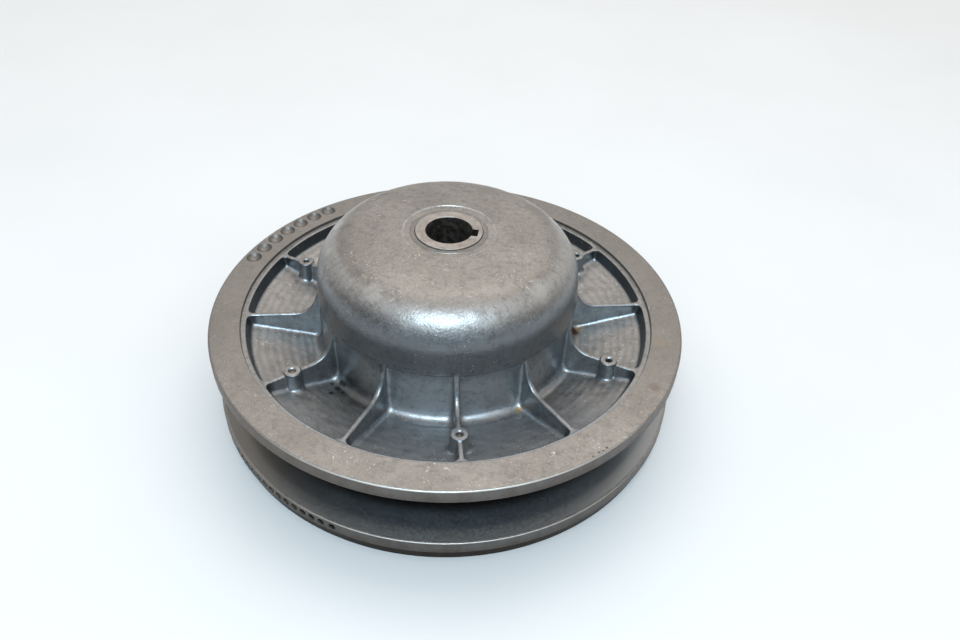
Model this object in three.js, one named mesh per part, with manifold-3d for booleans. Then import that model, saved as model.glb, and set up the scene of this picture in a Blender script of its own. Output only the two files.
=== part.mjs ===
// Driven pulley of a belt CVT: a domed fixed sheave keyed to the cross shaft, and a moving sheave whose bell
// nests in that dome. A spring and a three-lobed torque cam inside the bell close the pulley on its belt.
// Millimetres, +Z up along the shaft axis, origin at the centre of the plane that the moving sheave rests on.
import * as THREE from "three";
import { mergeVertices } from "three/addons/utils/BufferGeometryUtils.js";
import Module from "manifold-3d";

const wasm = await Module();
wasm.setup();

// ---- driving dimensions ------------------------------------------------------------------------------
const GAP = 0.3; // between pieces that touch or are pressed together
const BIG_SEGMENTS = 48; // round the sheaves
const SMALL_SEGMENTS = 36; // round the post and its rings
const BELT_SLOPE = Math.tan(THREE.MathUtils.degToRad(13.5)); // each belt face against the plane of rotation

const SHAFT_R = 12.7; // one inch shaft
const KEY_WIDTH = 6.35; // quarter inch key
const KEYWAY_R = 15.9; // keyway floor, from the axis
const KEYWAY_ANGLE = -10;
const POST_R = 18.4;
const POST_BOTTOM = 1.5;
const POST_TOP = 109.1;

const FIXED_R = 134.4; // outer radius of the fixed sheave
const RIM_Z = 56.5; // its machined rim land
const RIM_INNER_R = 117;
const BAND = 7.8; // height of its outer edge
const LEDGE_DROP = 2; // as-cast ledge and rib tops, below the land
const FLOOR_DROP = 9.8; // pocket floor at FLOOR_R, below the land
const FLOOR_R = 110;
const DOME_R = 72.6;
const HUB_R = 71.6; // wall between the ribs, just under the dome
const DOME_WALL = 5.5;
const SHOULDER_R = 25;
const SHOULDER_Z = RIM_Z + 25.5;
const CROWN_R = 500; // the crown is a shallow cap of this radius
const SHOULDER_END = 84.3; // degrees at which the shoulder runs into the crown
const CLOSED_STOP_Z = 98; // top of the moving sheave's hub when the pulley is closed

const MOVING_R = 133.4;
const MOVING_TOP = 14.9; // upper edge of its outer band
const MOVING_BAND = 7.1;
const SKIRT_R = 131.4; // as-cast skirt under that band
const BASE_INNER_R = 119; // inner edge of the ring that it rests on
const WEB = 4; // vertical thickness of its belt web
const BELL_R = 65.5;
const BELL_SHOULDER_R = 19;
const WELL_R = 61;
const WELL_BOTTOM = 3;
const CAM_SEAT_Z = 86;
const BELL_CEILING_Z = 93.5;
const SLEEVE_R = 25.5;
const SLEEVE_BOTTOM = 60;
const BUSH_R = 21.5;

const RIBS = 12;
const RIB_ANGLE = 3.8;
const RIB_THICKNESS = 3.2;
const BOSS_CIRCLE_R = 98;

const TRAVEL = 24; // of the moving sheave, closed to open
const CAM_ANGLE = 36; // degrees, at CAM_MEAN_R
const CAM_MEAN_R = 50;
const CAM_RISE = (Math.tan(THREE.MathUtils.degToRad(CAM_ANGLE)) * CAM_MEAN_R * Math.PI) / 180; // mm a degree
const CAM_INNER_R = 44;
const CAM_OUTER_R = 59.5;
const CAM_LOW_Z = 48;
const CAM_RAMP = 52; // degrees of each lobe's ramp
const SHOE_START = 4.7; // where the shoe stands on the ramp when closed, degrees
const LOBES = 3;
const SHOE_ANGLES = [90, 210, 330];

const BRACKET_Z = 8.6;
const PLATE_TOP = 16;
const BRACKET_TOP = SLEEVE_BOTTOM - TRAVEL - GAP;
const BRACKET_HUB_R = 25;
const PILLAR_TOP = 40.4;

const SPRING_R = 31;
const WIRE_R = 2.6;
const THRUST_WASHER = 1.8;

// ---- materials ---------------------------------------------------------------------------------------
function material(color, roughness, metalness) {
  return new THREE.MeshStandardMaterial({ color, roughness, metalness });
}
const castAluminium = material(0x8f8d88, 0.5, 0.9);
const darkAluminium = material(0x77777a, 0.55, 0.9);
const postSteel = material(0x8a8078, 0.4, 1);
const springSteel = material(0x4a4c50, 0.45, 1);
const zincSteel = material(0xa9a8a0, 0.35, 1);
const bronze = material(0x9a7b4f, 0.5, 0.9);
const nylon = material(0xd9d3c2, 0.6, 0);

// ---- helpers -----------------------------------------------------------------------------------------
const rad = THREE.MathUtils.degToRad;
const polar = (r, degrees) => [r * Math.cos(rad(degrees)), r * Math.sin(rad(degrees))];

/** Points of an arc in the (radius, height) plane, both ends included. */
function arc(centreR, centreZ, r, from, to, steps) {
  return Array.from({ length: steps + 1 }, (_, i) => {
    const [dr, dz] = polar(r, from + ((to - from) * i) / steps);
    return [centreR + dr, centreZ + dz];
  });
}

/** A closed solid from a closed geometry, whichever way its profile was drawn. */
function solid(geometry) {
  const bare = geometry.clone();
  bare.deleteAttribute("normal");
  bare.deleteAttribute("uv");
  const merged = mergeVertices(bare, 1e-3);
  const kept = [];
  const index = merged.index.array;
  for (let i = 0; i < index.length; i += 3) {
    const [a, b, c] = [index[i], index[i + 1], index[i + 2]];
    if (a !== b && b !== c && a !== c) kept.push(a, b, c);
  }
  const vertProperties = new Float32Array(merged.attributes.position.array);
  const build = (tris) =>
    new wasm.Manifold(new wasm.Mesh({ numProp: 3, vertProperties, triVerts: new Uint32Array(tris) }));
  const made = build(kept);
  return made.volume() > 0 ? made : build(kept.reverse());
}

/** A ring or disc turned about Z from a closed list of [radius, height] points. */
function turned(profile, segments = SMALL_SEGMENTS) {
  const points = [...profile, profile[0]].map(([r, z]) => new THREE.Vector2(r, z));
  return solid(new THREE.LatheGeometry(points, segments).rotateX(Math.PI / 2));
}

const ring = (innerR, outerR, low, high, segments) =>
  turned([[innerR, low], [outerR, low], [outerR, high], [innerR, high]], segments);

/** An upright cylinder, or a cone where the two radii differ. */
function cylinder(x, y, low, high, r, segments = 12, topR = r) {
  const shape = new THREE.CylinderGeometry(topR, r, high - low, segments).rotateX(Math.PI / 2);
  return solid(shape.translate(x, y, (low + high) / 2));
}

/** A box that lies along the radius at an angle. */
function radialBox(degrees, innerR, outerR, width, low, high) {
  const box = new THREE.BoxGeometry(outerR - innerR, width, high - low);
  box.translate((innerR + outerR) / 2, 0, (low + high) / 2).rotateZ(rad(degrees));
  return solid(box);
}

/** A plate in the radial plane at an angle, from a closed list of [radius, height] points. */
function radialPlate(degrees, outline, thickness) {
  const shape = new THREE.Shape(outline.map(([r, z]) => new THREE.Vector2(r, z)));
  const plate = new THREE.ExtrudeGeometry(shape, { depth: thickness, bevelEnabled: false });
  plate.rotateX(Math.PI / 2).translate(0, thickness / 2, 0).rotateZ(rad(degrees));
  return solid(plate);
}

/** A curved block between two radii and two angles, with its top at height top(angle). */
function sectorBlock(innerR, outerR, from, to, low, top, steps) {
  const block = new THREE.BoxGeometry(outerR - innerR, to - from, 1, 1, steps, 1);
  const at = block.attributes.position;
  for (let i = 0; i < at.count; i++) {
    const degrees = at.getY(i) + (from + to) / 2;
    const [x, y] = polar(at.getX(i) + (innerR + outerR) / 2, degrees);
    at.setXYZ(i, x, y, at.getZ(i) > 0 ? top(degrees) : low);
  }
  return solid(block);
}

const join = (...solids) => solids.flat().reduce((whole, s) => whole.add(s));
const cut = (whole, ...tools) => tools.flat().reduce((left, s) => left.subtract(s), whole);
const each = (count, make) => Array.from({ length: count }, (_, i) => make(i));

const pulley = new THREE.Group();

/** Adds one named piece to the pulley. */
function piece(name, shape, look) {
  const { numProp, vertProperties, triVerts } = shape.getMesh();
  const flat = new Float32Array((vertProperties.length / numProp) * 3);
  for (let i = 0; i < flat.length / 3; i++) {
    flat.set(vertProperties.subarray(i * numProp, i * numProp + 3), i * 3);
  }
  const geometry = new THREE.BufferGeometry();
  geometry.setAttribute("position", new THREE.BufferAttribute(flat, 3));
  geometry.setIndex(new THREE.BufferAttribute(new Uint32Array(triVerts), 1));
  geometry.computeVertexNormals();
  const mesh = new THREE.Mesh(geometry, look);
  mesh.name = name;
  pulley.add(mesh);
}

// ---- fixed sheave ------------------------------------------------------------------------------------
const fixedFace = (r) => RIM_Z - BAND - (FIXED_R - r) * BELT_SLOPE;
const fixedFloor = (r) => RIM_Z - FLOOR_DROP - (FLOOR_R - r) * BELT_SLOPE;

const shoulderEndR = DOME_R - SHOULDER_R + SHOULDER_R * Math.cos(rad(SHOULDER_END));
const shoulderEndZ = SHOULDER_Z + SHOULDER_R * Math.sin(rad(SHOULDER_END));
const capRise = (r) => Math.sqrt(CROWN_R ** 2 - r ** 2);
const crown = (r) => shoulderEndZ + capRise(r) - capRise(shoulderEndR);

const SPOT_FACE_R = 24.9;
const SPOT_FACE_Z = crown(SPOT_FACE_R) - 0.45;
const HUB_RING_R = 21.2;
const HUB_RING_Z = POST_TOP - 0.5; // a low raised ring round the post
const INNER_HUB_R = 29;
const STOP_WASHER = 2;
const INNER_HUB_Z = CLOSED_STOP_Z + 2 * GAP + STOP_WASHER;
const postHole = POST_R + GAP;
const innerDomeR = 67;

function fixedSheaveProfile() {
  const innerShoulder = SHOULDER_R - DOME_WALL;
  return [
    [postHole, HUB_RING_Z],
    [HUB_RING_R, HUB_RING_Z],
    [HUB_RING_R + 0.3, SPOT_FACE_Z],
    [SPOT_FACE_R, SPOT_FACE_Z],
    [SPOT_FACE_R + 0.2, crown(SPOT_FACE_R + 0.2)],
    [40, crown(40)],
    ...arc(DOME_R - SHOULDER_R, SHOULDER_Z, SHOULDER_R, SHOULDER_END, 0, 6),
    [DOME_R + 0.5, RIM_Z + 13.8],
    [HUB_R, RIM_Z + 13],
    [HUB_R + 0.5, fixedFloor(76) + 4],
    [HUB_R + 1.6, fixedFloor(76) + 1.2],
    [77.5, fixedFloor(77.5)],
    [FLOOR_R + 1, fixedFloor(FLOOR_R + 1)],
    [113.2, fixedFloor(FLOOR_R + 1) + 2.2],
    [114.8, RIM_Z - LEDGE_DROP],
    [RIM_INNER_R, RIM_Z - LEDGE_DROP],
    [RIM_INNER_R + 0.3, RIM_Z],
    [FIXED_R - 0.9, RIM_Z],
    [FIXED_R, RIM_Z - 0.9],
    [FIXED_R, RIM_Z - BAND],
    [innerDomeR + 2, fixedFace(innerDomeR + 2)],
    [innerDomeR, fixedFace(innerDomeR) + 2],
    ...arc(DOME_R - SHOULDER_R, SHOULDER_Z, innerShoulder, 0, SHOULDER_END, 5),
    [INNER_HUB_R + 1, crown(INNER_HUB_R + 1) - DOME_WALL],
    [INNER_HUB_R, INNER_HUB_Z],
    [postHole, INNER_HUB_Z],
  ];
}

/** The outline of a rib: its upper edge is level from the rim, then sweeps up the hub wall. */
function ribOutline() {
  const level = RIM_Z - LEDGE_DROP - 0.2;
  const [sweepR, outerR, innerR] = [12, 115.5, 70];
  return [
    [outerR, fixedFloor(outerR) - 1.5],
    [outerR, level],
    ...arc(87.5, level + sweepR, sweepR, -90, -159, 5),
    [73.3, level + 16],
    [innerR, level + 16],
    [innerR, fixedFloor(innerR) - 1.5],
  ];
}

const BOSS_R = 4.7;
const BOSS_HOLE_R = 1.7;
const BOSS_TOP = RIM_Z - 1.2;
const DIMPLE_COUNT = 7;
const DIMPLE_FROM = 129.4;
const DIMPLE_STEP = 5.05;
const DIMPLE_CIRCLE_R = 127.7;
const DIMPLE_R = 4.75;
const DIMPLE_DEPTH = 2.8;

function fixedSheave() {
  const ribs = each(RIBS, (i) => radialPlate(RIB_ANGLE + (360 / RIBS) * i, ribOutline(), RIB_THICKNESS));
  const bossAt = each(RIBS / 2, (i) => polar(BOSS_CIRCLE_R, RIB_ANGLE + 30 + 60 * i));
  const bosses = bossAt.map(([x, y]) => cylinder(x, y, fixedFloor(BOSS_CIRCLE_R) - 1.5, BOSS_TOP, BOSS_R));
  const holes = bossAt.map(([x, y]) => cylinder(x, y, BOSS_TOP - 10, BOSS_TOP + 1, BOSS_HOLE_R, 8));
  const dimples = each(DIMPLE_COUNT, (i) => {
    const [x, y] = polar(DIMPLE_CIRCLE_R, DIMPLE_FROM + DIMPLE_STEP * i);
    const slope = DIMPLE_R / DIMPLE_DEPTH;
    return cylinder(x, y, RIM_Z - DIMPLE_DEPTH, RIM_Z + 1, 0.05, 10, DIMPLE_R + slope);
  });
  return cut(join(turned(fixedSheaveProfile(), BIG_SEGMENTS), ribs, bosses), holes, dimples);
}

piece("fixed_sheave", fixedSheave(), castAluminium);

// ---- post, with the shaft bore, the key slots and the groove of its retaining ring -------------------
const CLIP_Z = 4.4;
const CLIP_THICKNESS = 1.6;
const CLIP_GROOVE_R = 17;
const BRACKET_KEY_ANGLE = 170;
const BRACKET_KEY_WIDTH = 5;
const BRACKET_KEY = { innerR: 16.6, outerR: 20.6, low: 10, high: 24 };

function hubPost() {
  const body = turned([
    [SHAFT_R + 0.6, POST_BOTTOM],
    [POST_R - 0.8, POST_BOTTOM],
    [POST_R, POST_BOTTOM + 0.8],
    [POST_R, CLIP_Z - GAP],
    [CLIP_GROOVE_R, CLIP_Z - GAP],
    [CLIP_GROOVE_R, CLIP_Z + CLIP_THICKNESS + GAP],
    [POST_R, CLIP_Z + CLIP_THICKNESS + GAP],
    [POST_R, POST_TOP - 0.5],
    [POST_R - 0.5, POST_TOP],
    [SHAFT_R + 0.5, POST_TOP],
    [SHAFT_R, POST_TOP - 0.5],
    [SHAFT_R, POST_BOTTOM + 0.6],
  ]);
  const { innerR, low, high } = BRACKET_KEY;
  const keySlotWidth = BRACKET_KEY_WIDTH + 2 * GAP;
  return cut(
    body,
    radialBox(KEYWAY_ANGLE, 5, KEYWAY_R, KEY_WIDTH, POST_BOTTOM - 1, POST_TOP + 1),
    radialBox(BRACKET_KEY_ANGLE, innerR - GAP, POST_R + 2, keySlotWidth, low - GAP, high + GAP),
  );
}

piece("hub_post", hubPost(), postSteel);
piece("stop_washer", ring(POST_R + 0.4, 24.5, CLOSED_STOP_Z + GAP, CLOSED_STOP_Z + GAP + STOP_WASHER), nylon);

// ---- torque bracket, its key, shoes and retainers ----------------------------------------------------
const PILLAR_INNER_R = 46;
const PILLAR_OUTER_R = 57.5;
const SHOE_INNER_R = 45.5;
const SHOE_OUTER_R = 58;
const SHOE_HALF_ANGLE = 7.7;
const SHOE_SCREW_Z = 45.6;
const TANG_ANGLE = 30;
const TANG_R = WIRE_R + GAP;

/** Height of the cam ramp over a shoe that stands at an angle, pulley closed. */
const rampOver = (shoeAngle) => (degrees) => CAM_LOW_Z + CAM_RISE * (degrees - shoeAngle + SHOE_START);

function torqueBracket() {
  const hub = ring(POST_R + GAP, BRACKET_HUB_R, BRACKET_Z, BRACKET_TOP);
  const plate = ring(POST_R + GAP, 38, BRACKET_Z, PLATE_TOP);
  const arms = SHOE_ANGLES.map((a) => radialBox(a, 24, 52, 16, BRACKET_Z, PLATE_TOP));
  const pillars = SHOE_ANGLES.map((a) => {
    const [from, to] = [a - SHOE_HALF_ANGLE, a + SHOE_HALF_ANGLE];
    return sectorBlock(PILLAR_INNER_R, PILLAR_OUTER_R, from, to, BRACKET_Z, () => PILLAR_TOP, 2);
  });
  const gusset = [
    [36, PLATE_TOP - 1],
    [48, PLATE_TOP - 1],
    [48, 34],
  ];
  const gussets = SHOE_ANGLES.map((a) => radialPlate(a, gusset, 6));
  const slotWidth = BRACKET_KEY_WIDTH + 2 * GAP;
  const keySlot = radialBox(BRACKET_KEY_ANGLE, 10, BRACKET_KEY.outerR + GAP, slotWidth, 0, BRACKET_TOP + 1);
  const tangHole = cylinder(...polar(SPRING_R, TANG_ANGLE), BRACKET_Z - 1, PLATE_TOP + 1, TANG_R, 10);
  return cut(join(hub, plate, arms, pillars, gussets), keySlot, tangHole);
}

piece("torque_bracket", torqueBracket(), darkAluminium);

const { innerR: keyInner, outerR: keyOuter, low: keyLow, high: keyHigh } = BRACKET_KEY;
piece(
  "bracket_key",
  radialBox(BRACKET_KEY_ANGLE, keyInner, keyOuter, BRACKET_KEY_WIDTH, keyLow, keyHigh),
  postSteel,
);

/** A small screw that lies along the radius, its head at the inner end. */
function shoeScrew(angle) {
  const screw = new THREE.LatheGeometry(
    [[0, 42.6], [2.9, 42.6], [2.9, SHOE_INNER_R - GAP], [1.5, SHOE_INNER_R - GAP], [1.5, 53], [0, 53]].map(
      ([r, along]) => new THREE.Vector2(r, along),
    ),
    10,
  );
  screw.rotateZ(-Math.PI / 2).translate(0, 0, SHOE_SCREW_Z).rotateZ(rad(angle));
  return solid(screw);
}

SHOE_ANGLES.forEach((angle, i) => {
  const ramp = rampOver(angle);
  const top = (degrees) => ramp(degrees) - 0.35;
  const block = sectorBlock(
    SHOE_INNER_R,
    SHOE_OUTER_R,
    angle - SHOE_HALF_ANGLE,
    angle + SHOE_HALF_ANGLE,
    PILLAR_TOP + GAP,
    top,
    4,
  );
  const hole = new THREE.CylinderGeometry(1.8, 1.8, 14, 10).rotateZ(Math.PI / 2);
  hole.translate(47.3, 0, SHOE_SCREW_Z).rotateZ(rad(angle));
  piece(`ramp_shoe_${i + 1}`, cut(block, solid(hole)), nylon);
  piece(`shoe_screw_${i + 1}`, shoeScrew(angle), zincSteel);
});

piece("end_washer", ring(POST_R + 0.4, 25.5, CLIP_Z + CLIP_THICKNESS + GAP, BRACKET_Z - GAP), zincSteel);

/** An external retaining ring: an open ring with two eared ends. */
function retainingRing() {
  const [inner, outer, opening] = [CLIP_GROOVE_R + 0.2, 21.3, 24];
  const shape = new THREE.Shape();
  const ear = (side) => polar(25, 270 + side * (opening / 2 - 1));
  shape.absarc(0, 0, outer, rad(270 + opening), rad(270 + 360 - opening), false);
  shape.lineTo(...ear(-1).map((v, k) => (k ? v : v - 4.5)));
  shape.lineTo(...ear(-1));
  shape.lineTo(...polar(inner, 270 - opening / 2));
  shape.absarc(0, 0, inner, rad(270 + 360 - opening / 2), rad(270 + opening / 2), true);
  shape.lineTo(...ear(1));
  shape.lineTo(...ear(1).map((v, k) => (k ? v : v + 4.5)));
  const extrusion = { depth: CLIP_THICKNESS, bevelEnabled: false, curveSegments: 20 };
  const clip = new THREE.ExtrudeGeometry(shape, extrusion);
  const eyes = [-1, 1].map((side) => {
    const [x, y] = polar(23, 270 + side * (opening / 2 + 4));
    return cylinder(x, y, CLIP_Z - 1, CLIP_Z + CLIP_THICKNESS + 1, 0.9, 8);
  });
  return cut(solid(clip.translate(0, 0, CLIP_Z)), eyes);
}

piece("retaining_ring", retainingRing(), springSteel);

// ---- spring and its thrust washer --------------------------------------------------------------------
const SPRING_LOW = PLATE_TOP + GAP;
const SPRING_HIGH = BELL_CEILING_Z - THRUST_WASHER - 3 * GAP;
const END_TURN = 0.9; // each closed end coil, in turns
const ACTIVE_TURNS = 5;
const SPRING_TURNS = ACTIVE_TURNS + 2 * END_TURN;

/** The spring's centreline: two closed end coils and evenly pitched ones between them. */
class SpringLine extends THREE.Curve {
  getPoint(t, target = new THREE.Vector3()) {
    const turn = t * SPRING_TURNS;
    const endRise = END_TURN * (2 * WIRE_R + 0.1);
    const low = SPRING_LOW + WIRE_R;
    const high = SPRING_HIGH - WIRE_R;
    const pitch = (high - low - 2 * endRise) / ACTIVE_TURNS;
    let z = low + (turn / END_TURN) * endRise;
    if (turn > END_TURN) z = low + endRise + (turn - END_TURN) * pitch;
    if (turn > END_TURN + ACTIVE_TURNS) z = high - ((SPRING_TURNS - turn) / END_TURN) * endRise;
    const [x, y] = polar(SPRING_R, TANG_ANGLE + turn * 360);
    return target.set(x, y, z);
  }
}

function torsionSpring() {
  const section = new THREE.Shape(each(8, (i) => new THREE.Vector2(...polar(WIRE_R, 45 * i))));
  const path = new SpringLine();
  const coils = new THREE.ExtrudeGeometry(section, { steps: 96, extrudePath: path, bevelEnabled: false });
  const tang = cylinder(...polar(SPRING_R, TANG_ANGLE), BRACKET_Z + 1, SPRING_LOW + WIRE_R, WIRE_R - 0.05, 8);
  return join(solid(coils), tang);
}

piece("torsion_spring", torsionSpring(), springSteel);
piece(
  "spring_thrust_washer",
  ring(SLEEVE_R + 0.7, 38.5, BELL_CEILING_Z - GAP - THRUST_WASHER, BELL_CEILING_Z - GAP),
  nylon,
);

// ---- moving sheave -----------------------------------------------------------------------------------
const movingFace = (r) => MOVING_TOP + (MOVING_R - r) * BELT_SLOPE;
const movingUnder = (r) => movingFace(r) - WEB;
const bushHole = BUSH_R + GAP;

function movingSheaveProfile() {
  return [
    [bushHole, CLOSED_STOP_Z],
    ...arc(BELL_R - BELL_SHOULDER_R, CLOSED_STOP_Z - BELL_SHOULDER_R, BELL_SHOULDER_R, 90, 0, 5),
    [BELL_R, movingFace(BELL_R) + 3],
    [BELL_R + 3, movingFace(BELL_R + 3)],
    [MOVING_R - 0.8, movingFace(MOVING_R - 0.8)],
    [MOVING_R, MOVING_TOP - 0.7],
    [MOVING_R, MOVING_TOP - MOVING_BAND],
    [SKIRT_R, MOVING_TOP - MOVING_BAND - 0.5],
    [SKIRT_R, 0.6],
    [SKIRT_R - 0.6, 0],
    [BASE_INNER_R, 0],
    [BASE_INNER_R - 3, movingUnder(112) - 2],
    [112, movingUnder(112)],
    [74, movingUnder(74)],
    [69.5, movingUnder(74) - 3.5],
    [68, WELL_BOTTOM],
    [WELL_R, WELL_BOTTOM],
    [WELL_R, CAM_SEAT_Z],
    [42, CAM_SEAT_Z],
    [41.5, BELL_CEILING_Z],
    [SLEEVE_R, BELL_CEILING_Z],
    [SLEEVE_R, SLEEVE_BOTTOM],
    [bushHole, SLEEVE_BOTTOM],
  ];
}

const LOBE_ORIGIN = SHOE_ANGLES[0] - SHOE_START; // low end of the first lobe's ramp
const SCREW_OFFSETS = [67, 91]; // screws in the gap after each lobe, degrees past its low end
const CAM_SCREW_R = 52;
const CAM_SCREW_THREAD_R = 2.8;
const CAM_SCREW_TOP = 92.6;
const CAM_FLANGE_Z = CAM_LOW_Z + CAM_RISE * CAM_RAMP;
const screwAngles = each(LOBES, (i) => SCREW_OFFSETS.map((a) => LOBE_ORIGIN + 120 * i + a)).flat();

const EDGE_HOLES = 14; // blind balance holes drilled in from the outer band
const EDGE_HOLE_R = 2;

function movingSheave() {
  const ribs = each(RIBS, (i) =>
    radialPlate(
      15 + (360 / RIBS) * i,
      [[66, WELL_BOTTOM + 0.5], [114, WELL_BOTTOM + 0.5], [118.5, 6], [118.5, movingUnder(118.5) + 1.5],
        [66, movingUnder(70) + 1.5]],
      RIB_THICKNESS,
    ),
  );
  const screwHoles = screwAngles.map((a) =>
    cylinder(...polar(CAM_SCREW_R, a), CAM_SEAT_Z - 1, CAM_SCREW_TOP + 0.5, CAM_SCREW_THREAD_R + GAP, 10),
  );
  const edgeHoles = each(EDGE_HOLES, (i) => {
    const hole = new THREE.CylinderGeometry(EDGE_HOLE_R, EDGE_HOLE_R, 18, 8).rotateZ(Math.PI / 2);
    const degrees = -115 - 2.45 * i - (i ? 0.4 : 0);
    return solid(hole.translate(MOVING_R + 1, 0, MOVING_TOP - MOVING_BAND / 2).rotateZ(rad(degrees)));
  });
  return cut(join(turned(movingSheaveProfile(), BIG_SEGMENTS), ribs), screwHoles, edgeHoles);
}

piece("moving_sheave", movingSheave(), castAluminium);
piece("upper_bushing", ring(POST_R + GAP, BUSH_R, 84, CLOSED_STOP_Z - 0.5), bronze);
piece("lower_bushing", ring(POST_R + GAP, BUSH_R, SLEEVE_BOTTOM + 0.5, 74), bronze);

// ---- torque cam and its screws -----------------------------------------------------------------------
const CAM_STEP = 4; // degrees between the columns of the cam's mesh
const LOBE_LAND = 4;
const BACK_SLOPE = 12;

/** Height of the cam's lower edge at an angle past a lobe's low end. */
function camEdge(past) {
  const behind = past > 180 ? past - 360 : past;
  if (behind >= 0 && behind <= CAM_RAMP) return CAM_LOW_Z + CAM_RISE * behind;
  if (behind >= -LOBE_LAND && behind < 0) return CAM_LOW_Z;
  const back = (-behind - LOBE_LAND) / BACK_SLOPE;
  return back > 0 && back < 1 ? CAM_LOW_Z + (CAM_FLANGE_Z - CAM_LOW_Z) * back : CAM_FLANGE_Z;
}

function camRing() {
  const top = CAM_SEAT_Z - GAP;
  const section = [
    new THREE.Vector2(CAM_INNER_R, 0),
    new THREE.Vector2(CAM_OUTER_R, 0),
    new THREE.Vector2(CAM_OUTER_R, top),
    new THREE.Vector2(CAM_INNER_R, top),
    new THREE.Vector2(CAM_INNER_R, 0),
  ];
  const blank = new THREE.LatheGeometry(section, 360 / CAM_STEP).rotateX(Math.PI / 2);
  const at = blank.attributes.position;
  for (let i = 0; i < at.count; i++) {
    if (at.getZ(i) > 1) continue;
    const degrees = THREE.MathUtils.radToDeg(Math.atan2(at.getY(i), at.getX(i)));
    const past = THREE.MathUtils.euclideanModulo(Math.round(degrees), 360 / LOBES);
    at.setZ(i, camEdge(past > 120 - LOBE_LAND - BACK_SLOPE - 1 ? past + 240 : past));
  }
  const holes = screwAngles.map((a) =>
    cylinder(...polar(CAM_SCREW_R, a - LOBE_ORIGIN), CAM_FLANGE_Z - 1, top + 1, CAM_SCREW_THREAD_R + GAP, 10),
  );
  return cut(solid(blank), holes).rotate([0, 0, LOBE_ORIGIN]);
}

piece("cam_ring", camRing(), darkAluminium);

const HEAD_TOP = CAM_FLANGE_Z - GAP;
const HEAD_BOTTOM = HEAD_TOP - 4;
const HEAD_R = 4.6;
screwAngles.forEach((angle, i) => {
  const profile = [
    [0, HEAD_BOTTOM + 2],
    [2, HEAD_BOTTOM + 2],
    [2.2, HEAD_BOTTOM],
    [HEAD_R - 0.4, HEAD_BOTTOM],
    [HEAD_R, HEAD_BOTTOM + 0.4],
    [HEAD_R, HEAD_TOP],
    [CAM_SCREW_THREAD_R, HEAD_TOP],
    [CAM_SCREW_THREAD_R, CAM_SCREW_TOP],
    [0, CAM_SCREW_TOP],
  ];
  const screw = new THREE.LatheGeometry(profile.map(([r, z]) => new THREE.Vector2(r, z)), 12);
  const [x, y] = polar(CAM_SCREW_R, angle);
  piece(`cam_screw_${i + 1}`, solid(screw.rotateX(Math.PI / 2).translate(x, y, 0)), zincSteel);
});

export default pulley;
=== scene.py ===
"""The looks of a belt CVT's driven pulley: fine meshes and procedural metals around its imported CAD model.

Shapes are worked out in millimetres and become metres where a mesh is made. The pulley lies on its moving
sheave, with the shaft axis along +Z and the dome of its fixed sheave up.
"""
import math

import bmesh
import bpy
import numpy as np
from mathutils import Matrix, Vector
from numpy.linalg import norm

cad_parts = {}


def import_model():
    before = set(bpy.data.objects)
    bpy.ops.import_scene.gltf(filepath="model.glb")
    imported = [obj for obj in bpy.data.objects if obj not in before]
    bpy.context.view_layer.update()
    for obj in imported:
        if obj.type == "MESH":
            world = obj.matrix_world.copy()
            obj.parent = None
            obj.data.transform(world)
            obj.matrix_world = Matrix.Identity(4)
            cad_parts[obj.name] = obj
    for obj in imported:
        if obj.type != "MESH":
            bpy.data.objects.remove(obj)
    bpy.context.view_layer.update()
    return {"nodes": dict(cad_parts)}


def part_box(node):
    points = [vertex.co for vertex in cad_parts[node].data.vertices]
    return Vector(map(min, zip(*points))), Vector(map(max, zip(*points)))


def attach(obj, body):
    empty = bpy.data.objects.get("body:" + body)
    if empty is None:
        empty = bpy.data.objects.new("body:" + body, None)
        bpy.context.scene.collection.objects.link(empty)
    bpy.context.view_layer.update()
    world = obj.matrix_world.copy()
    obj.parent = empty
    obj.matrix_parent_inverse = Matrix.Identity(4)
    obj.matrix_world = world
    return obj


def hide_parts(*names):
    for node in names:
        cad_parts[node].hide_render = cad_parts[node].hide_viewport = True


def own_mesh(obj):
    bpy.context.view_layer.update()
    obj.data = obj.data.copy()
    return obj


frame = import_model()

MM = 0.001


# ---- driving sizes, in millimetres ----
def top_of(node):
    """Height of a CAD node's highest point."""
    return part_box(node)[1].z / MM


def bottom_of(node):
    """Height of a CAD node's lowest point."""
    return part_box(node)[0].z / MM


def radius_of(node):
    """Outer radius of a round CAD node."""
    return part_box(node)[1].x / MM


BELT_SLOPE = math.tan(math.radians(13.5))  # each belt face against the plane of rotation
SHAFT_R = 12.7
KEY_WIDTH = 6.35
KEYWAY_R = 15.9
KEYWAY_ANGLE = -10
POST_R = radius_of("hub_post")
POST_BOTTOM = bottom_of("hub_post")
POST_TOP = top_of("hub_post")
POST_HOLE_R = POST_R + 0.1

FIXED_R = radius_of("fixed_sheave")
RIM_Z = 56.5
RIM_INNER_R = 117
BAND = 7.8
LEDGE_Z = RIM_Z - 2
FLOOR_DROP = 9.8
FLOOR_R = 110
FOOT_END_R = 79
WALL_FOOT_R = 112.6
WALL_TOP_R = 114.4
DOME_R = 72.6
HUB_R = 72.3
INNER_DOME_R = 67
DOME_WALL = 5.5
SHOULDER_R = 25
SHOULDER_Z = RIM_Z + 25.5
SHOULDER_END = 84.3
CROWN_R = 500
HUB_TOP_Z = RIM_Z + 13.8
INNER_HUB_R = 29
INNER_HUB_Z = top_of("stop_washer") + 0.3
RIBS = 12
RIB_ANGLE = 3.8
RIB_HALF = 1.35
RIB_TOP = LEDGE_Z - 0.2
BOSS_CIRCLE_R = 98
BOSS_R = 4.7
BOSS_TOP = RIM_Z - 1.2
BOSS_HOLE_R = 1.7
BOSS_HOLE_DEPTH = 10
BOSS_HOLE_DIRT = {2: 1.8, 3: 1.5, 4: 2.2}  # depths of the three boss holes that are choked with dirt
DIMPLES = 7
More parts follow.
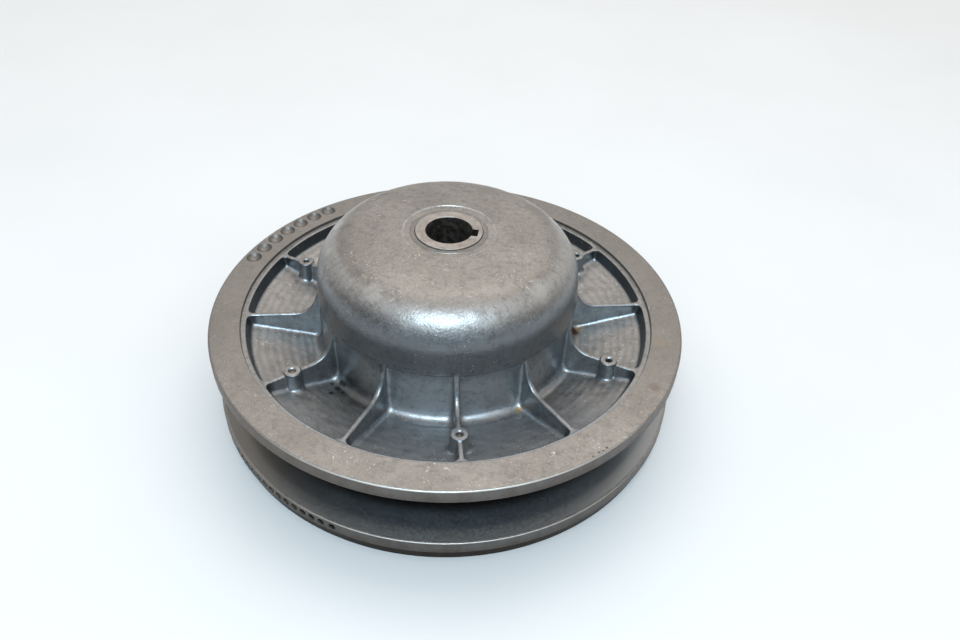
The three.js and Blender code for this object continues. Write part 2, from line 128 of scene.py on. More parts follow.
DIMPLE_CIRCLE_R = 127.7
DIMPLE_ANGLE = 129.4
DIMPLE_STEP = 5.05

MOVING_R = radius_of("moving_sheave")
MOVING_TOP = 14.9
MOVING_BAND = 7.1
SKIRT_R = 131.4
BASE_INNER_R = 119
WEB = 4
BELL_R = 65.5
BELL_SHOULDER_R = 19
BELL_TOP = top_of("moving_sheave")
WELL_R = 61
CAM_SEAT_Z = 86
BELL_CEILING_Z = 93.5
SLEEVE_R = 25.5
SLEEVE_BOTTOM = 60
BUSH_HOLE_R = radius_of("upper_bushing") + 0.3
BALANCE_HOLES = 14
BALANCE_ANGLE = -115
BALANCE_STEP = -2.45
BALANCE_GAP = -0.4  # the first hole stands this much further from the others
BALANCE_HOLE_R = 2
BALANCE_HOLE_DEPTH = 17

SPRING_SEAT_Z = 16.3


# ---- mesh tools ----
def polar(radius, degrees):
    """Point at a radius and an angle from +X."""
    return radius * math.cos(math.radians(degrees)), radius * math.sin(math.radians(degrees))


def smoothstep(low, high, value):
    t = np.clip((np.asarray(value, float) - low) / (high - low), 0, 1)
    return t * t * (3 - 2 * t)


def waves(points, size, seed):
    """Smooth noise from about -1 to 1, made of seeded sine waves of about one size."""
    random = np.random.default_rng(seed)
    total = 0
    for _ in range(7):
        direction = random.normal(size=3)
        direction *= 2 * math.pi / (size * random.uniform(0.7, 1.5) * norm(direction))
        total = total + np.sin(points @ direction + random.uniform(0, 2 * math.pi))
    return total / 3.5


def outline(corners, spacing=4.0, closed=False):
    """Points of a profile. A corner is (radius, height) or (radius, height, fillet), rounded by an arc."""
    count = len(corners)
    points = []
    for i, corner in enumerate(corners):
        here = np.array(corner[:2], float)
        inside = closed or 0 < i < count - 1
        if len(corner) < 3 or not inside:
            points.append(here)
            continue
        to_last = np.array(corners[i - 1][:2], float) - here
        to_next = np.array(corners[(i + 1) % count][:2], float) - here
        to_last /= norm(to_last)
        to_next /= norm(to_next)
        half = math.acos(np.clip(to_last @ to_next, -1, 1)) / 2
        fillet = corner[2]
        reach = fillet / math.tan(half)
        middle = (to_last + to_next) / norm(to_last + to_next)
        centre = here + middle * fillet / math.sin(half)
        start = here + to_last * reach - centre
        turn = math.copysign(math.pi - 2 * half, np.cross(start, here - centre))
        steps = max(2, math.ceil(math.degrees(abs(turn)) / 12))
        points.append(here + to_last * (reach + 0.2 * fillet))
        for k in range(steps + 1):
            c, s = math.cos(turn * k / steps), math.sin(turn * k / steps)
            points.append(centre + (start[0] * c - start[1] * s, start[0] * s + start[1] * c))
        points.append(here + to_next * (reach + 0.2 * fillet))
    return divided(points, spacing, closed)


def divided(points, spacing, closed=False):
    """The same points with more between them, no further apart than the spacing."""
    fine = []
    ends = points[1:] + points[:1] if closed else points[1:]
    for a, b in zip(points, ends):
        steps = max(1, math.ceil(norm(np.subtract(b, a)) / spacing))
        fine += [a + (b - a) * k / steps for k in range(steps)]
    return fine if closed else fine + [points[-1]]


def arc(centre_r, centre_z, radius, start, end, steps):
    """Points of an arc in the (radius, height) plane."""
    return [
        np.array([centre_r, centre_z]) + polar(radius, start + (end - start) * k / steps)
        for k in range(steps + 1)
    ]


def linked(name, data):
    """A new object in the scene."""
    made = bpy.data.objects.new(name, data)
    bpy.context.scene.collection.objects.link(made)
    return made


def creased(piece, sharp=30):
    """The same piece, shaded smooth with creases where faces meet at more than an angle."""
    piece.data.polygons.foreach_set("use_smooth", [True] * len(piece.data.polygons))
    piece.data.set_sharp_from_angle(angle=math.radians(sharp))
    piece.data.update()
    return piece


def mesh_piece(name, points, faces, sharp=30):
    """An object from points in millimetres, its faces turned outwards."""
    mesh = bpy.data.meshes.new(name)
    mesh.from_pydata((np.asarray(points, float) * MM).tolist(), [], faces)
    shape = bmesh.new()
    shape.from_mesh(mesh)
    if shape.calc_volume(signed=True) < 0:
        bmesh.ops.reverse_faces(shape, faces=shape.faces)
    shape.to_mesh(mesh)
    shape.free()
    return creased(linked(name, mesh), sharp)


def ring_piece(name, grid, sharp=30):
    """An object from a grid of points that closes on itself along its rows and its columns."""
    rows, columns = grid.shape[:2]
    at = np.arange(rows * columns).reshape(rows, columns)
    after = np.roll(at, -1, 0)
    faces = np.stack([at, np.roll(at, -1, 1), np.roll(after, -1, 1), after], -1).reshape(-1, 4)
    return mesh_piece(name, grid.reshape(-1, 3), faces.tolist(), sharp)


def turned(name, corners, columns=144, spacing=5.0, sharp=30):
    """A ring turned about the shaft axis from the corners of its closed profile."""
    profile = np.array(outline(corners, spacing, closed=True))
    angles = np.arange(columns) * 2 * math.pi / columns
    radius, height = profile[:, :1], profile[:, 1:]
    grid = np.stack([radius * np.cos(angles), radius * np.sin(angles), height + 0 * angles], -1)
    return ring_piece(name, grid, sharp)


def rod(radius, low, high, matrix, segments=32, top_radius=None):
    """A capped cylinder or cone as a bmesh, along its own +Z from low to high, then placed by a matrix."""
    shape = bmesh.new()
    move = Matrix.Translation((0, 0, (low + high) / 2))
    bmesh.ops.create_cone(
        shape,
        cap_ends=True,
        segments=segments,
        radius1=radius,
        radius2=radius if top_radius is None else top_radius,
        depth=high - low,
        matrix=Matrix.Scale(MM, 4) @ matrix @ move,
    )
    return shape


def spindle(profile, matrix, columns=40):
    """A solid turned about its own +Z from a profile that starts and ends on the axis, placed by a matrix."""
    shape = bmesh.new()
    ends = [shape.verts.new(matrix @ Vector((0, 0, profile[i][1])) * MM) for i in (0, -1)]
    turns = [360 / columns * k for k in range(columns)]
    rings = [
        [shape.verts.new(matrix @ Vector((*polar(r, turn), z)) * MM) for turn in turns]
        for r, z in profile[1:-1]
    ]
    for k in range(columns):
        after = (k + 1) % columns
        shape.faces.new((ends[0], rings[0][after], rings[0][k]))
        shape.faces.new((ends[1], rings[-1][k], rings[-1][after]))
        for a, b in zip(rings, rings[1:]):
            shape.faces.new((a[k], a[after], b[after], b[k]))
    bmesh.ops.recalc_face_normals(shape, faces=shape.faces)
    return shape


def shape_piece(name, shape, sharp=30):
    """An object from a bmesh."""
    mesh = bpy.data.meshes.new(name)
    shape.to_mesh(mesh)
    shape.free()
    return creased(linked(name, mesh), sharp)


def block(size, matrix):
    """A box as a bmesh, placed by a matrix."""
    shape = bmesh.new()
    bmesh.ops.create_cube(shape, size=1, matrix=Matrix.Scale(MM, 4) @ matrix @ Matrix.Diagonal((*size, 1)))
    return shape


def around(degrees, x=0, y=0, z=0):
    """Placement at a point that is then turned about the shaft axis."""
    return Matrix.Rotation(math.radians(degrees), 4, "Z") @ Matrix.Translation((x, y, z))


LYING = Matrix.Rotation(math.radians(90), 4, "Y")  # turns a rod's own +Z to +X


def applied(piece):
    """Replaces a piece's mesh by what its modifiers make of it."""
    depsgraph = bpy.context.evaluated_depsgraph_get()
    mesh = bpy.data.meshes.new_from_object(piece.evaluated_get(depsgraph))
    piece.modifiers.clear()
    piece.data = mesh
    return piece


def cut_out(piece, shapes):
    """Cuts closed shapes out of a piece."""
    mesh = bpy.data.meshes.new("tool")
    whole = bmesh.new()
    for shape in shapes:
        part = bpy.data.meshes.new("tool_part")
        shape.to_mesh(part)
        shape.free()
        whole.from_mesh(part)
        bpy.data.meshes.remove(part)
    whole.to_mesh(mesh)
    whole.free()
    tool = linked("tool", mesh)
    modifier = piece.modifiers.new("cut", "BOOLEAN")
    modifier.operation = "DIFFERENCE"
    modifier.solver = "MANIFOLD"
    modifier.object = tool
    applied(piece)
    bpy.data.objects.remove(tool)
    return creased(piece)


def roughened(piece, size, depth, seed, where=None):
    """Moves a piece's surface in and out a little, as a casting's does."""
    mesh = piece.data
    points = np.empty(len(mesh.vertices) * 3, np.float32)
    normals = np.empty_like(points)
    mesh.vertices.foreach_get("co", points)
    mesh.vertex_normals.foreach_get("vector", normals)
    points = points.reshape(-1, 3).astype(float)
    move = waves(points / MM, size, seed) * depth * MM
    if where is not None:
        move = move * where(points / MM)
    points += normals.reshape(-1, 3) * move[:, None]
    mesh.vertices.foreach_set("co", points.astype(np.float32).ravel())
    mesh.update()


# ---- ribbed castings ----
def rib_section(height, half):
    """Offsets from a rib's mid-plane and heights over its pocket: crest, drafted flank and foot fillet.

    Each row of the result belongs to one point of the pocket's profile.
    """
    edge, foot, draft = 1.0, 3.0, 0.035
    height = height[:, None]
    half = half[:, None]
    full = np.maximum(height, edge + foot + 0.3)
    flank = full - edge - foot
    over = np.radians([90, 60, 30, 0])
    under = np.radians([0, 18, 36, 54, 72, 90])
    parts = np.array([1 / 3, 2 / 3])
    offsets = [0 * half, half - edge + edge * np.cos(over), half + draft * flank * parts]
    offsets.append(half + draft * flank + foot * (1 - np.cos(under)))
    heights = [full, full - edge + edge * np.sin(over), full - edge - flank * parts]
    heights.append(foot * (1 - np.sin(under)) + 0 * full)
    return np.hstack(offsets), np.hstack(heights) * height / full


POCKET_COLUMNS = 12


def ribbed_sector(base, crest, half, ribbed):
    """Points of half a sector, from a rib's mid-plane to the middle of the pocket beside it.

    base and crest are profiles of (radius, height), half is the rib's half thickness, and ribbed says how far
    each row's columns gather round the rib. Returns radius, angle and height.
    """
    rise = norm(crest - base, axis=1)
    offsets, heights = rib_section(rise, half)
    flat = np.zeros((len(base), POCKET_COLUMNS))
    share = np.hstack([heights / np.maximum(rise, 1e-6)[:, None], flat])
    radius = base[:, :1] + (crest - base)[:, :1] * share
    height = base[:, 1:] + (crest - base)[:, 1:] * share
    near = np.degrees(np.arcsin(np.clip(offsets / radius[:, : offsets.shape[1]], 0, 0.9)))
    sector = 180 / RIBS
    steps = np.arange(1, POCKET_COLUMNS + 1) / POCKET_COLUMNS
    far = near[:, -1:] + (sector - near[:, -1:]) * steps
    gathered = np.hstack([near, far])
    even = np.linspace(0, sector, gathered.shape[1])
    angle = even + (gathered - even) * ribbed[:, None]
    return radius, angle, height


def ribbed_piece(name, first_angle, sectors):
    """A casting from one half sector for each rib, mirrored about the rib."""
    columns = []
    for i, (radius, angle, height) in enumerate(sectors):
        middle = first_angle + 360 / RIBS * i
        order = list(range(angle.shape[1] - 2, 0, -1))
        for k, side in [(k, -1) for k in order] + [(k, 1) for k in range(angle.shape[1])]:
            turn = np.radians(middle + side * angle[:, k])
            x, y = radius[:, k] * np.cos(turn), radius[:, k] * np.sin(turn)
            columns.append(np.stack([x, y, height[:, k]], -1))
    return ring_piece(name, np.stack(columns, 1))


# ---- fixed sheave ----
def fixed_face(r):
    """Height of the fixed sheave's belt face."""
    return RIM_Z - BAND - (FIXED_R - r) * BELT_SLOPE


def fixed_floor(r):
    """Height of the fixed sheave's pocket floors."""
    return RIM_Z - FLOOR_DROP - (FLOOR_R - r) * BELT_SLOPE


def crown(r):
    """Height of the dome's shallow top."""
    end_r, end_z = np.array([DOME_R - SHOULDER_R, SHOULDER_Z]) + polar(SHOULDER_R, SHOULDER_END)
    return end_z + math.sqrt(CROWN_R**2 - r**2) - math.sqrt(CROWN_R**2 - end_r**2)


SPOT_R = 24.9
HUB_RING_R = 21.2
SPOT_Z = crown(SPOT_R) - 0.45
HUB_RING_Z = POST_TOP - 0.5


def dome_rows():
    """Profile of the dome, from the post's hole out and down to the top of the hub wall."""
    spot = outline(
        [
            (POST_HOLE_R, HUB_RING_Z - 3), (POST_HOLE_R, HUB_RING_Z - 0.1, 0.3), (20.9, HUB_RING_Z, 0.3),
            (21.3, SPOT_Z - 0.1, 0.15), (21.8, SPOT_Z, 0.15), (SPOT_R, SPOT_Z, 0.15),
            (SPOT_R + 0.4, crown(SPOT_R + 0.4), 0.25), (SPOT_R + 3, crown(SPOT_R + 3)),
        ]
    )
    cap = [np.array([r, crown(r)]) for r in np.arange(SPOT_R + 5, 49.5, 2.1)]
    shoulder = arc(DOME_R - SHOULDER_R, SHOULDER_Z, SHOULDER_R, SHOULDER_END, 0, 26)
    wall = outline([(DOME_R + 0.1, SHOULDER_Z - 2), (DOME_R + 0.5, HUB_TOP_Z + 0.5)], 2)
    return spot + cap + shoulder + wall[:-1]


def pocket_rows():
    """Profile of a pocket: down the hub wall, out along the floor and up to the ledge under the rim land."""
    wall = outline(
        [
            (DOME_R + 0.5, HUB_TOP_Z), (HUB_R, HUB_TOP_Z - 1.2, 0.8), (HUB_R + 0.3, fixed_floor(HUB_R), 5),
            (FOOT_END_R, fixed_floor(FOOT_END_R)),
        ],
        1.8,
    )
    boss = BOSS_CIRCLE_R + (BOSS_R + 1) * np.cos(np.linspace(math.pi, 0, 25))
    before = np.arange(FOOT_END_R + 1.5, boss[0] - 0.5, 1.5)
    radii = np.concatenate([before, boss, np.arange(boss[-1] + 0.9, FLOOR_R - 1, 1.5)])
    floor = [np.array([r, fixed_floor(r)]) for r in radii]
    rim = outline(
        [
            (FLOOR_R, fixed_floor(FLOOR_R)), (WALL_FOOT_R, fixed_floor(WALL_FOOT_R), 2.4),
            (WALL_TOP_R, LEDGE_Z, 0.9),
            (RIM_INNER_R, LEDGE_Z, 0.3), (RIM_INNER_R + 0.2, RIM_Z - 0.7),
        ],
        1.2,
    )
    return wall + floor + rim


def rib_crest(base):
    """The rib's upper edge over each point of the pocket's profile: level, then swept up the hub wall."""
    sweep_r, level_r = 12.0, 88.0
    path = [np.array([DOME_R + 0.5, HUB_TOP_Z]), *arc(87.5, RIB_TOP + sweep_r, sweep_r, -159, -90, 12)]
    path = np.array(path + [np.array([level_r, RIB_TOP])])
    lengths = np.concatenate([[0], np.cumsum(norm(np.diff(path, axis=0), axis=1))])
    inner = base[:, 0] < level_r
    inner[np.argmax(~inner) :] = False
    steps = np.concatenate([[0], np.cumsum(norm(np.diff(base, axis=0), axis=1))])
    share = steps / steps[np.argmax(~inner)]
    swept = np.stack([np.interp(share * lengths[-1], lengths, path[:, k]) for k in (0, 1)], -1)
    level = np.stack([base[:, 0], np.maximum(base[:, 1], RIB_TOP)], -1)
    level[base[:, 1] > LEDGE_Z] = base[base[:, 1] > LEDGE_Z]
    return np.where(inner[:, None], swept, level)


def rim_rows():
    """Profile from the rim land round the outer edge, under the belt face and up inside the dome."""
    rim = outline(
        [
            (RIM_INNER_R + 0.25, RIM_Z - 0.4), (RIM_INNER_R + 0.35, RIM_Z, 0.2), (FIXED_R, RIM_Z, 1.3),
            (FIXED_R, fixed_face(FIXED_R), 0.6), (INNER_DOME_R, fixed_face(INNER_DOME_R), 2.5),
            (INNER_DOME_R, SHOULDER_Z - 1),
        ]
    )
    inner = arc(DOME_R - SHOULDER_R, SHOULDER_Z, SHOULDER_R - DOME_WALL, 0, SHOULDER_END, 12)
    hub = outline(
        [
            inner[-1] + (-1, 0.15), (INNER_HUB_R + 0.5, crown(INNER_HUB_R) - DOME_WALL, 1.5),
            (INNER_HUB_R, INNER_HUB_Z, 0.5),
            (POST_HOLE_R, INNER_HUB_Z, 0.5), (POST_HOLE_R, INNER_HUB_Z + 2),
        ]
    )
    return rim + inner + hub


def dimple(place):
    """A ball-ended drill's hollow in the rim land."""
    wide, deep = 4.7, 2.8
    ball = (wide**2 + deep**2) / (2 * deep)
    rise = math.degrees(math.asin(wide / ball))
    profile = arc(0, RIM_Z - deep + ball, ball, -90, -90 + rise, 9)
    return spindle([*profile, (wide + 0.3, RIM_Z + 1), (0, RIM_Z + 1)], place, 36)


def fixed_sheave():
    """The domed sheave with its pockets, ribs and bosses."""
    dome, pocket, rim = (np.array(rows) for rows in (dome_rows(), pocket_rows(), rim_rows()))
    base = np.concatenate([dome, pocket, rim])
    crest = base.copy()
    crest[len(dome) : len(dome) + len(pocket)] = rib_crest(pocket)
    ribbed = np.concatenate(
        [
            smoothstep(SHOULDER_Z + 14, SHOULDER_Z - 4, dome[:, 1]),
            np.ones(len(pocket)),
            np.where(rim[:, 1] > RIM_Z - 1, smoothstep(124, RIM_INNER_R, rim[:, 0]), 0),
        ]
    )
    radius = base[:, 0]
    flare = 3.6
    reach = np.clip(radius - (WALL_TOP_R - flare), 0, flare - 0.2)
    half = RIB_HALF + np.where(ribbed >= 1, flare - np.sqrt(flare**2 - reach**2), 0)
    away = np.abs(radius - BOSS_CIRCLE_R)
    round_half = np.sqrt(np.maximum(BOSS_R**2 - away**2, 0))
    boss_half = (half**6 + round_half**6) ** (1 / 6)
    boss_crest = crest.copy()
    rise = (BOSS_TOP - RIB_TOP) * smoothstep(BOSS_R + 0.1, BOSS_R - 0.5, away)
    boss_crest[:, 1] += np.where(crest[:, 1] - base[:, 1] > 5, rise, 0)
    plain = ribbed_sector(base, crest, half, ribbed)
    bossed = ribbed_sector(base, boss_crest, boss_half, ribbed)
    piece = ribbed_piece("fixed_casting", RIB_ANGLE, [bossed if i % 2 else plain for i in range(RIBS)])

    def cast(points):
        r = np.hypot(points[:, 0], points[:, 1])
        above = points[:, 2] > fixed_face(r) + 1
        return smoothstep(26, 34, r) * smoothstep(RIM_INNER_R, RIM_INNER_R - 2, r) * above

    def floor(points):
        r = np.hypot(points[:, 0], points[:, 1])
        above = points[:, 2] > fixed_face(r) + 1
        low = smoothstep(2.5, 0.5, points[:, 2] - fixed_floor(r))
        return low * smoothstep(76, 80, r) * smoothstep(111, 108, r) * above

    roughened(piece, 24, 0.07, 1, cast)
    roughened(piece, 7, 0.03, 2, cast)
    roughened(piece, 9, 0.10, 3, floor)
    places = [around(RIB_ANGLE + 30 + 60 * i, BOSS_CIRCLE_R) for i in range(RIBS // 2)]
    depths = [BOSS_HOLE_DIRT.get(i, BOSS_HOLE_DEPTH) for i in range(len(places))]
    holes = [rod(BOSS_HOLE_R, BOSS_TOP - d, BOSS_TOP + 1, place, 24) for d, place in zip(depths, places)]
    cut_out(piece, holes)
    chamfers = [rod(1.6, BOSS_TOP - 0.7, BOSS_TOP + 0.5, place, 24, 2.9) for place in places]
    dimples = [dimple(around(DIMPLE_ANGLE + DIMPLE_STEP * i, DIMPLE_CIRCLE_R)) for i in range(DIMPLES)]
    return cut_out(piece, chamfers + dimples)


# ---- moving sheave ----
def moving_face(r):
    """Height of the moving sheave's belt face."""
    return MOVING_TOP + (MOVING_R - r) * BELT_SLOPE


BACK_RIB_Z = 3.5


def moving_top_rows():
    """Profile from the bushing's hole over the bell, along the belt face and down to the resting ring."""
    flat_r = BELL_R - BELL_SHOULDER_R
    bell = outline([(BUSH_HOLE_R, BELL_TOP - 2), (BUSH_HOLE_R, BELL_TOP, 0.6), (flat_r, BELL_TOP)])
    shoulder = arc(flat_r, BELL_TOP - BELL_SHOULDER_R, BELL_SHOULDER_R, 86, 0, 16)
    face = outline(
        [
            (BELL_R, BELL_TOP - BELL_SHOULDER_R - 2), (BELL_R, moving_face(BELL_R), 3.5),
            (MOVING_R, moving_face(MOVING_R), 0.7), (MOVING_R, MOVING_TOP - MOVING_BAND, 0.5),
            (SKIRT_R, MOVING_TOP - MOVING_BAND - 0.5, 0.5), (SKIRT_R - 0.2, 0, 0.8), (BASE_INNER_R + 1, 0),
        ]
    )
    return bell + shoulder + face


def back_pocket_rows():
    """Profile of a back pocket: up from the resting ring, in along the web and down to the well's rim."""
    return outline(
        [
            (BASE_INNER_R, 0, 0.8), (BASE_INNER_R - 4, moving_face(113) - WEB, 3),
            (71, moving_face(71) - WEB, 4), (68.5, 3, 0.8), (WELL_R + 1, 3),
        ],
        1.8,
    )


def well_rows():
    """Profile of the bell's inside, from the well's rim up to the cam's seat and down the sleeve."""
    return outline(
        [
            (WELL_R, 3, 0.8), (WELL_R, CAM_SEAT_Z, 0.8), (41.8, CAM_SEAT_Z, 0.5),
            (41.5, BELL_CEILING_Z, 1.0), (SLEEVE_R, BELL_CEILING_Z, 1.0), (SLEEVE_R, SLEEVE_BOTTOM, 0.8),
            (BUSH_HOLE_R, SLEEVE_BOTTOM, 0.5), (BUSH_HOLE_R, SLEEVE_BOTTOM + 5),
        ]
    )


def moving_sheave():
    """The lower sheave: its bell, belt face, resting ring and the ribs on its back."""
    top, pocket, well = (np.array(rows) for rows in (moving_top_rows(), back_pocket_rows(), well_rows()))
    base = np.concatenate([top, pocket, well])
    crest = base.copy()
    rows = slice(len(top), len(top) + len(pocket))
    crest[rows, 1] = np.minimum(pocket[:, 1], np.interp(pocket[:, 0], [114, 119], [BACK_RIB_Z, 6]))
    flat = (pocket[:, 0] > BASE_INNER_R - 0.5) | (pocket[:, 0] < 70)
    crest[rows, 1] = np.where(flat, pocket[:, 1], crest[rows, 1])
    ribbed = np.concatenate(
        [
            np.where(top[:, 1] < 1, smoothstep(127, BASE_INNER_R, top[:, 0]), 0),
            np.ones(len(pocket)),
            np.where(well[:, 1] < 20, 1 - well[:, 1] / 20, 0),
        ]
    )
    sector = ribbed_sector(base, crest, np.full(len(base), RIB_HALF), np.clip(ribbed, 0, 1))
    piece = ribbed_piece("moving_casting", 15, [sector] * RIBS)

    def cast(points):
        r = np.hypot(points[:, 0], points[:, 1])
        face = points[:, 2] > moving_face(r) - 1
        back = (points[:, 2] > 1.5) & (r > 67) & (r < BASE_INNER_R - 1) & ~face
        skirt = (points[:, 2] < 6.5) & (points[:, 2] > 1) & (r > 125)
        return (back | skirt).astype(float)

    roughened(piece, 18, 0.08, 4, cast)
    holes = []
    for i in range(BALANCE_HOLES):
        degrees = BALANCE_ANGLE + BALANCE_STEP * i + (BALANCE_GAP if i else 0)
        place = around(degrees, 0, 0, MOVING_TOP - MOVING_BAND / 2) @ LYING
        holes.append(rod(BALANCE_HOLE_R, MOVING_R - BALANCE_HOLE_DEPTH, MOVING_R + 2, place, 28))
    return cut_out(piece, holes)


# ---- materials ----
class Nodes:
    """Ways to add nodes to a material or a world. Most return a node's output socket."""

    def __init__(self, owner):
        owner.use_nodes = True
        self.tree = owner.node_tree

    def node(self, kind, *sockets, **settings):
        """A node with its first input sockets linked or set, and settings by attribute or socket name."""
        made = self.tree.nodes.new(kind)
        for key, value in settings.items():
            if hasattr(made, key) and not key[0].isupper():
                setattr(made, key, value)
        for key, value in settings.items():
            if key[0].isupper():
                self.put(made.inputs[key.replace("_", " ")], value)
        for socket, value in zip(made.inputs, sockets):
            self.put(socket, value)
        return made

    def put(self, socket, value):
        if isinstance(value, bpy.types.NodeSocket):
            self.tree.links.new(value, socket)
        elif value is not None:
            socket.default_value = value

    def math(self, operation, a, b=None, c=None):
        return self.node("ShaderNodeMath", a, b, c, operation=operation).outputs[0]

    def vector(self, operation, a, b=None, **settings):
        return self.node("ShaderNodeVectorMath", a, b, operation=operation, **settings).outputs[0]

    def span(self, value, low, high, to_low=0.0, to_high=1.0):
        """Smooth step of a value from low to high, either way round."""
        ends = (high, low, to_high, to_low) if low > high else (low, high, to_low, to_high)
        return self.node("ShaderNodeMapRange", value, *ends, interpolation_type="SMOOTHSTEP").outputs[0]

    def mix(self, factor, a, b):
        """Colour a, going over to b as the factor goes from 0 to 1."""
        made = self.tree.nodes.new("ShaderNodeMix")
        made.data_type = "RGBA"
        self.put(made.inputs[0], factor)
        for socket, value in ((made.inputs[6], a), (made.inputs[7], b)):
            self.put(socket, (*value, 1) if isinstance(value, tuple) else value)
        return made.outputs[2]


class Finish(Nodes):
    """One procedural material, with its lengths in millimetres."""

    def __init__(self, name, **constants):
        self.material = bpy.data.materials.new(name)
        super().__init__(self.material)
        self.shader = self.tree.nodes["Principled BSDF"]
        for socket, value in constants.items():
            self.shader.inputs[socket.replace("_", " ")].default_value = value
        place = self.node("ShaderNodeTexCoord").outputs["Object"]
        self.place = self.vector("SCALE", place, Scale=1 / MM)
        split = self.node("ShaderNodeSeparateXYZ", self.place)
        self.x, self.y, self.z = split.outputs
        squares = [self.math("POWER", axis, 2) for axis in (self.x, self.y)]
        self.r = self.math("SQRT", self.math("ADD", *squares))
        normal = self.node("ShaderNodeNewGeometry").outputs["Normal"]
        self.up = self.node("ShaderNodeSeparateXYZ", normal).outputs["Z"]
        self.axes = {"x": self.x, "y": self.y, "z": self.z, "r": self.r, "up": self.up}

    def set(self, name, value):
        self.put(self.shader.inputs[name], value)

    def noise(self, size, detail=3.0, roughness=0.55, offset=0.0):
        """Noise of about a size, from 0 to 1 round 0.5."""
        place = self.vector("ADD", self.place, (offset, offset * 2, offset * 3))
        made = self.node("ShaderNodeTexNoise", place, Scale=1 / size, Detail=detail, Roughness=roughness)
        return made.outputs[0]

    def times(self, *values):
        product = values[0]
        for value in values[1:]:
            product = self.math("MULTIPLY", product, value)
        return product

    def where(self, **spans):
        """Product of smooth steps of x, y, z, r or up, each given the arguments of span after the value."""
        return self.times(*[self.span(self.axes[name], *ends) for name, ends in spans.items()])

    def outside(self, *masks):
        """1 where none of the masks is, 0 where one of them is."""
        most = masks[0]
        for mask in masks[1:]:
            most = self.math("MAXIMUM", most, mask)
        return self.math("SUBTRACT", 1.0, most)

    def lay(self, colour, tint, *masks):
        """A colour with a tint laid over it where all the masks are. A number among them is its strength."""
        return self.mix(self.times(*masks), colour, tint)

    def spot(self, centre, reach, ragged=0.5):
        """1 at a point, fading to 0 at a distance from it, with a ragged edge."""
        away = self.node("ShaderNodeVectorMath", self.place, centre, operation="DISTANCE").outputs["Value"]
        away = self.math("ADD", away, self.math("MULTIPLY", self.noise(reach * 0.5), reach * ragged))
        return self.span(away, reach * (1 + ragged / 2), reach * (0.4 + ragged / 2))

    def bump(self, height, depth, normal=None):
        """A normal bent by a height from 0 to 1 that stands for a depth."""
        made = self.node("ShaderNodeBump", Height=height, Distance=depth * MM, Strength=1.0)
        if normal is not None:
            self.put(made.inputs["Normal"], normal)
        return made.outputs[0]


def turning_marks(finish, pitch=0.5):
    """Fine grooves round the axis, as a lathe tool leaves them, from 0 to 1."""
    along = finish.math("SUBTRACT", finish.r, finish.z)
    line = finish.node("ShaderNodeCombineXYZ", along, 0.0, 0.0).outputs[0]
    return finish.node("ShaderNodeTexNoise", line, Scale=1 / pitch, Detail=2.0, Roughness=0.6).outputs[0]


WARM = (0.275, 0.251, 0.229)
WARM_DARK = (0.225, 0.205, 0.186)
COOL = (0.33, 0.353, 0.372)
COOL_DARK = (0.235, 0.255, 0.272)
# colour of the painted highlights on rounded edges
EDGE_HIGHLIGHT = (0.60, 0.56, 0.52)
RUST = (0.10, 0.032, 0.012)
AMBER = (0.42, 0.29, 0.14)
# dark grime, also used for a line of painted shade over the hub
GRIME_AND_SHADE = (0.035, 0.033, 0.03)
SCUFF = (0.55, 0.54, 0.51)
DIRT = (0.16, 0.13, 0.09)
SOOT = (0.085, 0.08, 0.075)


def alloy_tones(finish, settled, dull):
    """Colour and roughness of old alloy, warm where dust has settled and rougher where it is dull."""
    broad, fine = finish.noise(30, 4), finish.noise(1.3, 5, 0.75, offset=7)
    warm = finish.mix(finish.span(broad, 0.35, 0.68), WARM, WARM_DARK)
    warm = finish.mix(finish.span(fine, 0.48, 0.72, 0, 0.6), warm, (0.40, 0.375, 0.348))
    warm = finish.mix(finish.span(fine, 0.5, 0.3, 0, 0.5), warm, (0.15, 0.134, 0.119))
    cool = finish.mix(finish.span(finish.noise(18, 5, offset=3), 0.35, 0.7), COOL, COOL_DARK)
    cool = finish.mix(finish.span(fine, 0.5, 0.75, 0, 0.5), cool, (0.50, 0.52, 0.535))
    cool = finish.mix(finish.span(fine, 0.5, 0.3, 0, 0.35), cool, (0.15, 0.162, 0.172))
    base, spread = finish.span(dull, 0, 1, 0.29, 0.40), finish.span(fine, 0.3, 0.75, 0, 0.16)
    return finish.mix(settled, cool, warm), finish.math("ADD", base, spread)


def specks(finish, colour, seed=0.0, amount=0.4):
    """Dark blotches, light nicks, hairline scratches and pits strewn over a colour."""
    blotch = finish.noise(4, 5, 0.75, offset=15 + seed)
    colour = finish.lay(colour, (0.11, 0.11, 0.11), finish.span(blotch, 0.46, 0.7, 0, 0.5))
    clusters = finish.span(finish.noise(14, 2, offset=seed), 0.42, 0.62)
    nick = finish.span(finish.noise(0.9, 1.5, 0.5, offset=11 + seed), 0.66, 0.73)
    colour = finish.lay(colour, (0.80, 0.77, 0.73), nick, clusters, amount)
    place = finish.vector("ADD", finish.place, (seed, seed, seed))
    cells = finish.node("ShaderNodeTexVoronoi", place, Scale=1 / 8, feature="DISTANCE_TO_EDGE")
    hair = finish.span(cells.outputs["Distance"], 0.025, 0.008)
    broken = finish.span(finish.noise(5, 3, 0.6, offset=31 + seed), 0.58, 0.66)
    colour = finish.lay(colour, (0.72, 0.70, 0.66), hair, broken, clusters, amount)
    pit = finish.span(finish.noise(1.3, 2, 0.6, offset=23 + seed), 0.72, 0.78)
    return finish.lay(colour, (0.08, 0.068, 0.06), pit, clusters, 0.25)


def stained(finish, colour, spots):
    """Stains laid over a colour, each from its radius, angle, height, reach, tint and strength."""
    for radius, degrees, height, reach, tint, strength in spots:
        centre = (*polar(radius, degrees), height)
        colour = finish.lay(colour, tint, finish.spot(centre, reach), strength)
    return colour


